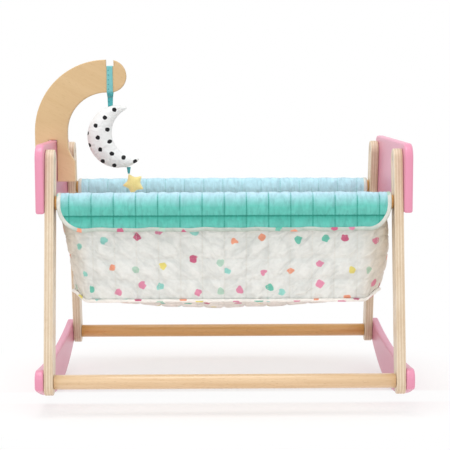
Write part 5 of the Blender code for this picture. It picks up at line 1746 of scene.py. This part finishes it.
moon_top = MOON_Z + math.sqrt(MOON_RADIUS ** 2 - (TIP_X - MOON_X) ** 2)
levels = np.linspace(GATHER_Z + TAIL_START, moon_top - TAIL_IN, TAIL_STEPS)
tail_path = np.column_stack((TAIL_SWAY * np.sin(levels / SWAY_WAVE), levels))
tail = ribbon("moon_ribbon", tail_path, np.linspace(*TAIL_WIDTHS, TAIL_STEPS), TIP_X, TAIL_HALF_THICK)
place_on(tail, "moon", "teal_ribbon", "strap_tail")
print(f"ribbon over the arm is {run_along(loop_path)[-1] * 1000:.0f} mm long")

# %% [markdown]
# ## The moon
#
# Two crescents of white plush are sewn together along their edge and stuffed.
# The black dots are printed on the flat cloth. A picture could hold them, but
# distances stay sharp from close by: two lattices half a step apart give the
# staggered rows, and the nearest centre draws the dot. The pile is a fine relief
# over soft rumples.

# %% White plush
DOT_SPACING, DOT_RADIUS, DOT_EDGE, DOT_ROWS = 0.0188, 0.0034, 0.0002, 1.73
DOT_WOBBLE = 0.0004
DOT_BLACK = (0.006, 0.006, 0.008, 1)
PLUSH_LOW, PLUSH_HIGH = (0.79, 0.805, 0.80, 1), (0.86, 0.875, 0.87, 1)
RUMPLE_DEPTH, PILE_DEPTH = 0.0030, 0.0003

white_plush, tree, shader = new_material("white_plush", Roughness=0.9, Sheen_Weight=0.12, Sheen_Roughness=0.5)
place, along, across = on_cloth(tree)
wobble = ranged(tree, noise(tree, place, 260.0, 1.0), 0.3, 0.7, -DOT_WOBBLE, DOT_WOBBLE)
lattice = []
for shift in (0.0, 0.5):
    u = to_nearest(tree, sums(tree, "ADD", along, shift * DOT_SPACING), DOT_SPACING)
    v = to_nearest(tree, sums(tree, "ADD", across, shift * DOT_SPACING * DOT_ROWS), DOT_SPACING * DOT_ROWS)
    lattice.append(far_from(tree, u, v))
nearest = sums(tree, "ADD", sums(tree, "MINIMUM", *lattice), wobble)
dots = ranged(tree, nearest, DOT_RADIUS + DOT_EDGE, DOT_RADIUS - DOT_EDGE)
pile = noise(tree, place, 1500.0, 2.0)
white = blend_colour(tree, ranged(tree, pile, 0.3, 0.7), PLUSH_LOW, PLUSH_HIGH)
rumple = relief(tree, noise(tree, place, 75.0, 1.0, 1.0), 0.8, RUMPLE_DEPTH)
finish(tree, shader, Base_Color=blend_colour(tree, dots, white, DOT_BLACK),
       Normal=relief(tree, pile, 0.5, PILE_DEPTH, rumple))
print("moon look:", white_plush.name)

# %% [markdown]
# A ball could be carved to a crescent with a Boolean, but its edge would be
# sharp and its map torn. Here rings across the crescent, from the outer to the
# hollow edge, give the shape, and the simulation puffs it between the seam. The
# map is the front view, because the cloth was printed before it was cut.

# %% The plush moon
HOLLOW_REACH, HOLLOW_RADIUS = 0.0272, 0.0385
MOON_TURN = math.radians(13)
MOON_SPAN, HOLLOW_SPAN = math.radians(116), math.radians(80)
MOON_DEPTH, SWELL_POWER = 0.031, 0.75
MOON_SEAM_IN = 0.0018
MOON_RINGS, MOON_SIDES = 73, 40
TIP_SHARE, TIP_REACH, TIP_LEAST = 0.94, 0.075, 0.02
MOON_CROWN, MOON_CAP = 0.0012, 0.0020
DOT_LEAN = np.array(((0.94, 0.34), (-0.34, 0.94)))
MOON_ON_CLOTH = 0.5


def moon_edges(share):
    """The outer and the hollow edge's points at a share from -1 to 1."""
    middle = MOON_TURN + np.pi
    hollow = (MOON_X + HOLLOW_REACH * np.cos(MOON_TURN), MOON_Z + HOLLOW_REACH * np.sin(MOON_TURN))
    a, b = middle + share * MOON_SPAN, middle + share * HOLLOW_SPAN
    radius = MOON_RADIUS - MOON_SEAM_IN
    outer = np.stack((MOON_X + radius * np.cos(a), MOON_Z + radius * np.sin(a)), -1)
    return outer, np.stack((hollow[0] + HOLLOW_RADIUS * np.cos(b), hollow[1] + HOLLOW_RADIUS * np.sin(b)), -1)


def moon_grid():
    """Ring: middle + reach cos a, depth D (width / widest)^p sin a, drawn in
    over the last rings so that the tips close round."""
    share = np.linspace(-1, 1, MOON_RINGS)
    outer, hollow = moon_edges(share)
    middle, reach = (outer + hollow) / 2, (outer - hollow) / 2
    wide = 2 * np.linalg.norm(reach, axis=1)
    depth = MOON_DEPTH / 2 * (wide / (MOON_RADIUS - HOLLOW_RADIUS + HOLLOW_REACH)) ** SWELL_POWER
    to_tip = np.clip((np.abs(share) - TIP_SHARE) / TIP_REACH, 0, 1)
    close = np.sqrt(np.clip(1 - to_tip ** 2, TIP_LEAST, 1))[:, None]
    a = np.linspace(0, 2 * np.pi, MOON_SIDES, endpoint=False)
    plan = middle[:, None] + (reach * close)[:, None] * np.cos(a)[:, None]
    return np.stack((plan[..., 0], depth[:, None] * close * np.sin(a), plan[..., 1]), -1)


def plush_moon(name):
    """The grid, swollen with its seam held; UV is the front view in metres."""
    grid = moon_grid()
    around = np.arange(MOON_SIDES)
    held = np.broadcast_to(np.isin(around, (0, MOON_SIDES // 2)), grid.shape[:2]).copy()
    held[:2] = held[-2:] = True
    shaped = swell(grid, (False, True), -1.0, held, MOON_CAP, pressure=2.0, growth=0.05)
    front = np.concatenate((shaped, shaped[:, :1]), 1)[..., ::2]
    uv = (front - (MOON_X, MOON_Z)) @ DOT_LEAN + MOON_ON_CLOTH
    made = surface(name, shaped, white_plush, (False, True), True, uv, SOFT_ANGLE)
    return made


moon = plush_moon("plush_moon")
place_on(moon, "moon", "white_plush", "moon")
print("moon is", round(2 * MOON_RADIUS * 1000), "mm over its outer edge")

# %% [markdown]
# ## The star
#
# The star is cut from yellow felt, a mat of short fibres without a weave. Hair
# could be grown on it, but felt's fibres lie down. So a fine distorted noise
# gives both its relief and its changing yellow, and a broad one warms it.

# %% Yellow felt
FELT_LOW, FELT_HIGH, FELT_WARM = (0.98, 0.79, 0.27, 1), (0.98, 0.86, 0.37, 1), (0.98, 0.68, 0.27, 1)
FELT_DEPTH = 0.0004

yellow_felt, tree, shader = new_material("yellow_felt", Roughness=0.92, Sheen_Weight=0.8, Sheen_Roughness=0.6)
place = on_bed(tree)
fibres = noise(tree, place, 900.0, 3.0, 1.2)
felt = blend_colour(tree, ranged(tree, fibres, 0.3, 0.7), FELT_LOW, FELT_HIGH)
warm = ranged(tree, noise(tree, place, 90.0, 1.0), 0.45, 0.65, 0.0, 0.6)
finish(tree, shader, Base_Color=blend_colour(tree, warm, felt, FELT_WARM),
       Normal=relief(tree, fibres, 0.6, FELT_DEPTH))
print("star look:", yellow_felt.name)

# %% [markdown]
# Two felt faces are sewn at the edge and stuffed. A flat star with a wide bevel
# would look like a biscuit. Here rings shrink from the outline to the middle
# while they rise; near the edge they rise fastest, which gives the full, rounded
# look of a stuffed shape. A short ribbon joins it to the moon's lower edge.

# %% The felt star and its ribbon
STAR_X, STAR_Z, STAR_RADIUS = -0.1400, 0.3187, 0.0173
STAR_DEPTH, STAR_WAIST, STAR_POINT = 0.0125, 0.61, 1.03
STAR_TURN = math.radians(26)
EDGE_POINTS, STAR_RINGS = 9, 27
HANG_X, HANG_HALF_THICK, HANG_STEPS = -0.14731, 0.0008, 8
HANG_WIDTHS, HANG_START, HANG_END = (0.0032, 0.0016), -0.0001, 0.0004


def star_outline():
    """Five points and five waists joined by straight lines, then smoothed three
    times: each point becomes the mean of its neighbours and twice itself."""
    corner = np.pi / 2 + STAR_TURN + np.arange(10) * np.pi / 5
    radius = np.where(np.arange(10) % 2, STAR_RADIUS * STAR_WAIST, STAR_RADIUS * STAR_POINT)
    knots = np.column_stack((radius * np.cos(corner), radius * np.sin(corner)))
    share = np.linspace(0, 1, EDGE_POINTS, endpoint=False)[None, :, None]
    straight = knots[:, None] * (1 - share) + np.roll(knots, -1, 0)[:, None] * share
    outline = straight.reshape(-1, 2)
    for _ in range(3):
        outline = (np.roll(outline, 1, 0) + 2 * outline + np.roll(outline, -1, 0)) / 4
    return outline


def felt_star(name):
    """Ring at angle a: size c (0.55 + 0.45 c) with c = cos a, height the half
    depth times sin a to the power 0.9, less deep out in the points."""
    outline = star_outline()
    turn = np.linspace(-np.pi / 2, np.pi / 2, STAR_RINGS)[1:-1]
    size = np.cos(turn)[:, None]
    size = size * (0.55 + 0.45 * size)
    height = np.sign(np.sin(turn)) * np.abs(np.sin(turn)) ** 0.9
    reach = np.linalg.norm(outline, axis=1) / STAR_RADIUS
    depth = STAR_DEPTH / 2 * (1 - 0.25 * (1 - size) * reach)
    grid = np.stack((STAR_X + outline[:, 0] * size, depth * height[:, None],
                     STAR_Z + outline[:, 1] * size), -1)
    made = surface(name, grid, yellow_felt, (False, True), True, None, SOFT_ANGLE)
    return made


star = felt_star("felt_star")
place_on(star, "star", "yellow_felt", "star")
moon_foot = MOON_Z - math.sqrt(MOON_RADIUS ** 2 - (HANG_X - MOON_X) ** 2)
star_top = STAR_Z + STAR_RADIUS * math.cos(STAR_TURN)
levels = np.linspace(moon_foot + HANG_START, star_top + HANG_END, HANG_STEPS)
widths = np.linspace(*HANG_WIDTHS, HANG_STEPS)
short = ribbon("star_ribbon", np.column_stack((0 * levels, levels)), widths, HANG_X, HANG_HALF_THICK)
place_on(short, "star", "teal_ribbon", "star_loop")
print("star and its ribbon hang from", round(levels[0] * 1000, 1), "mm")

# %% [markdown]
# ## Sizes
#
# The visual pieces may stand a little proud of the solids, as cloth does, but
# the bed's size is the solids' size. Both boxes are written down to compare.

# %% Write both boxes
seen_box = [list(corner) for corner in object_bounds()]
for axis, name in enumerate("xyz"):
    past = [round((seen_box[end][axis] - cad_box[end][axis]) * 1000, 1) for end in (0, 1)]
    print(name, past, "mm past the solids")
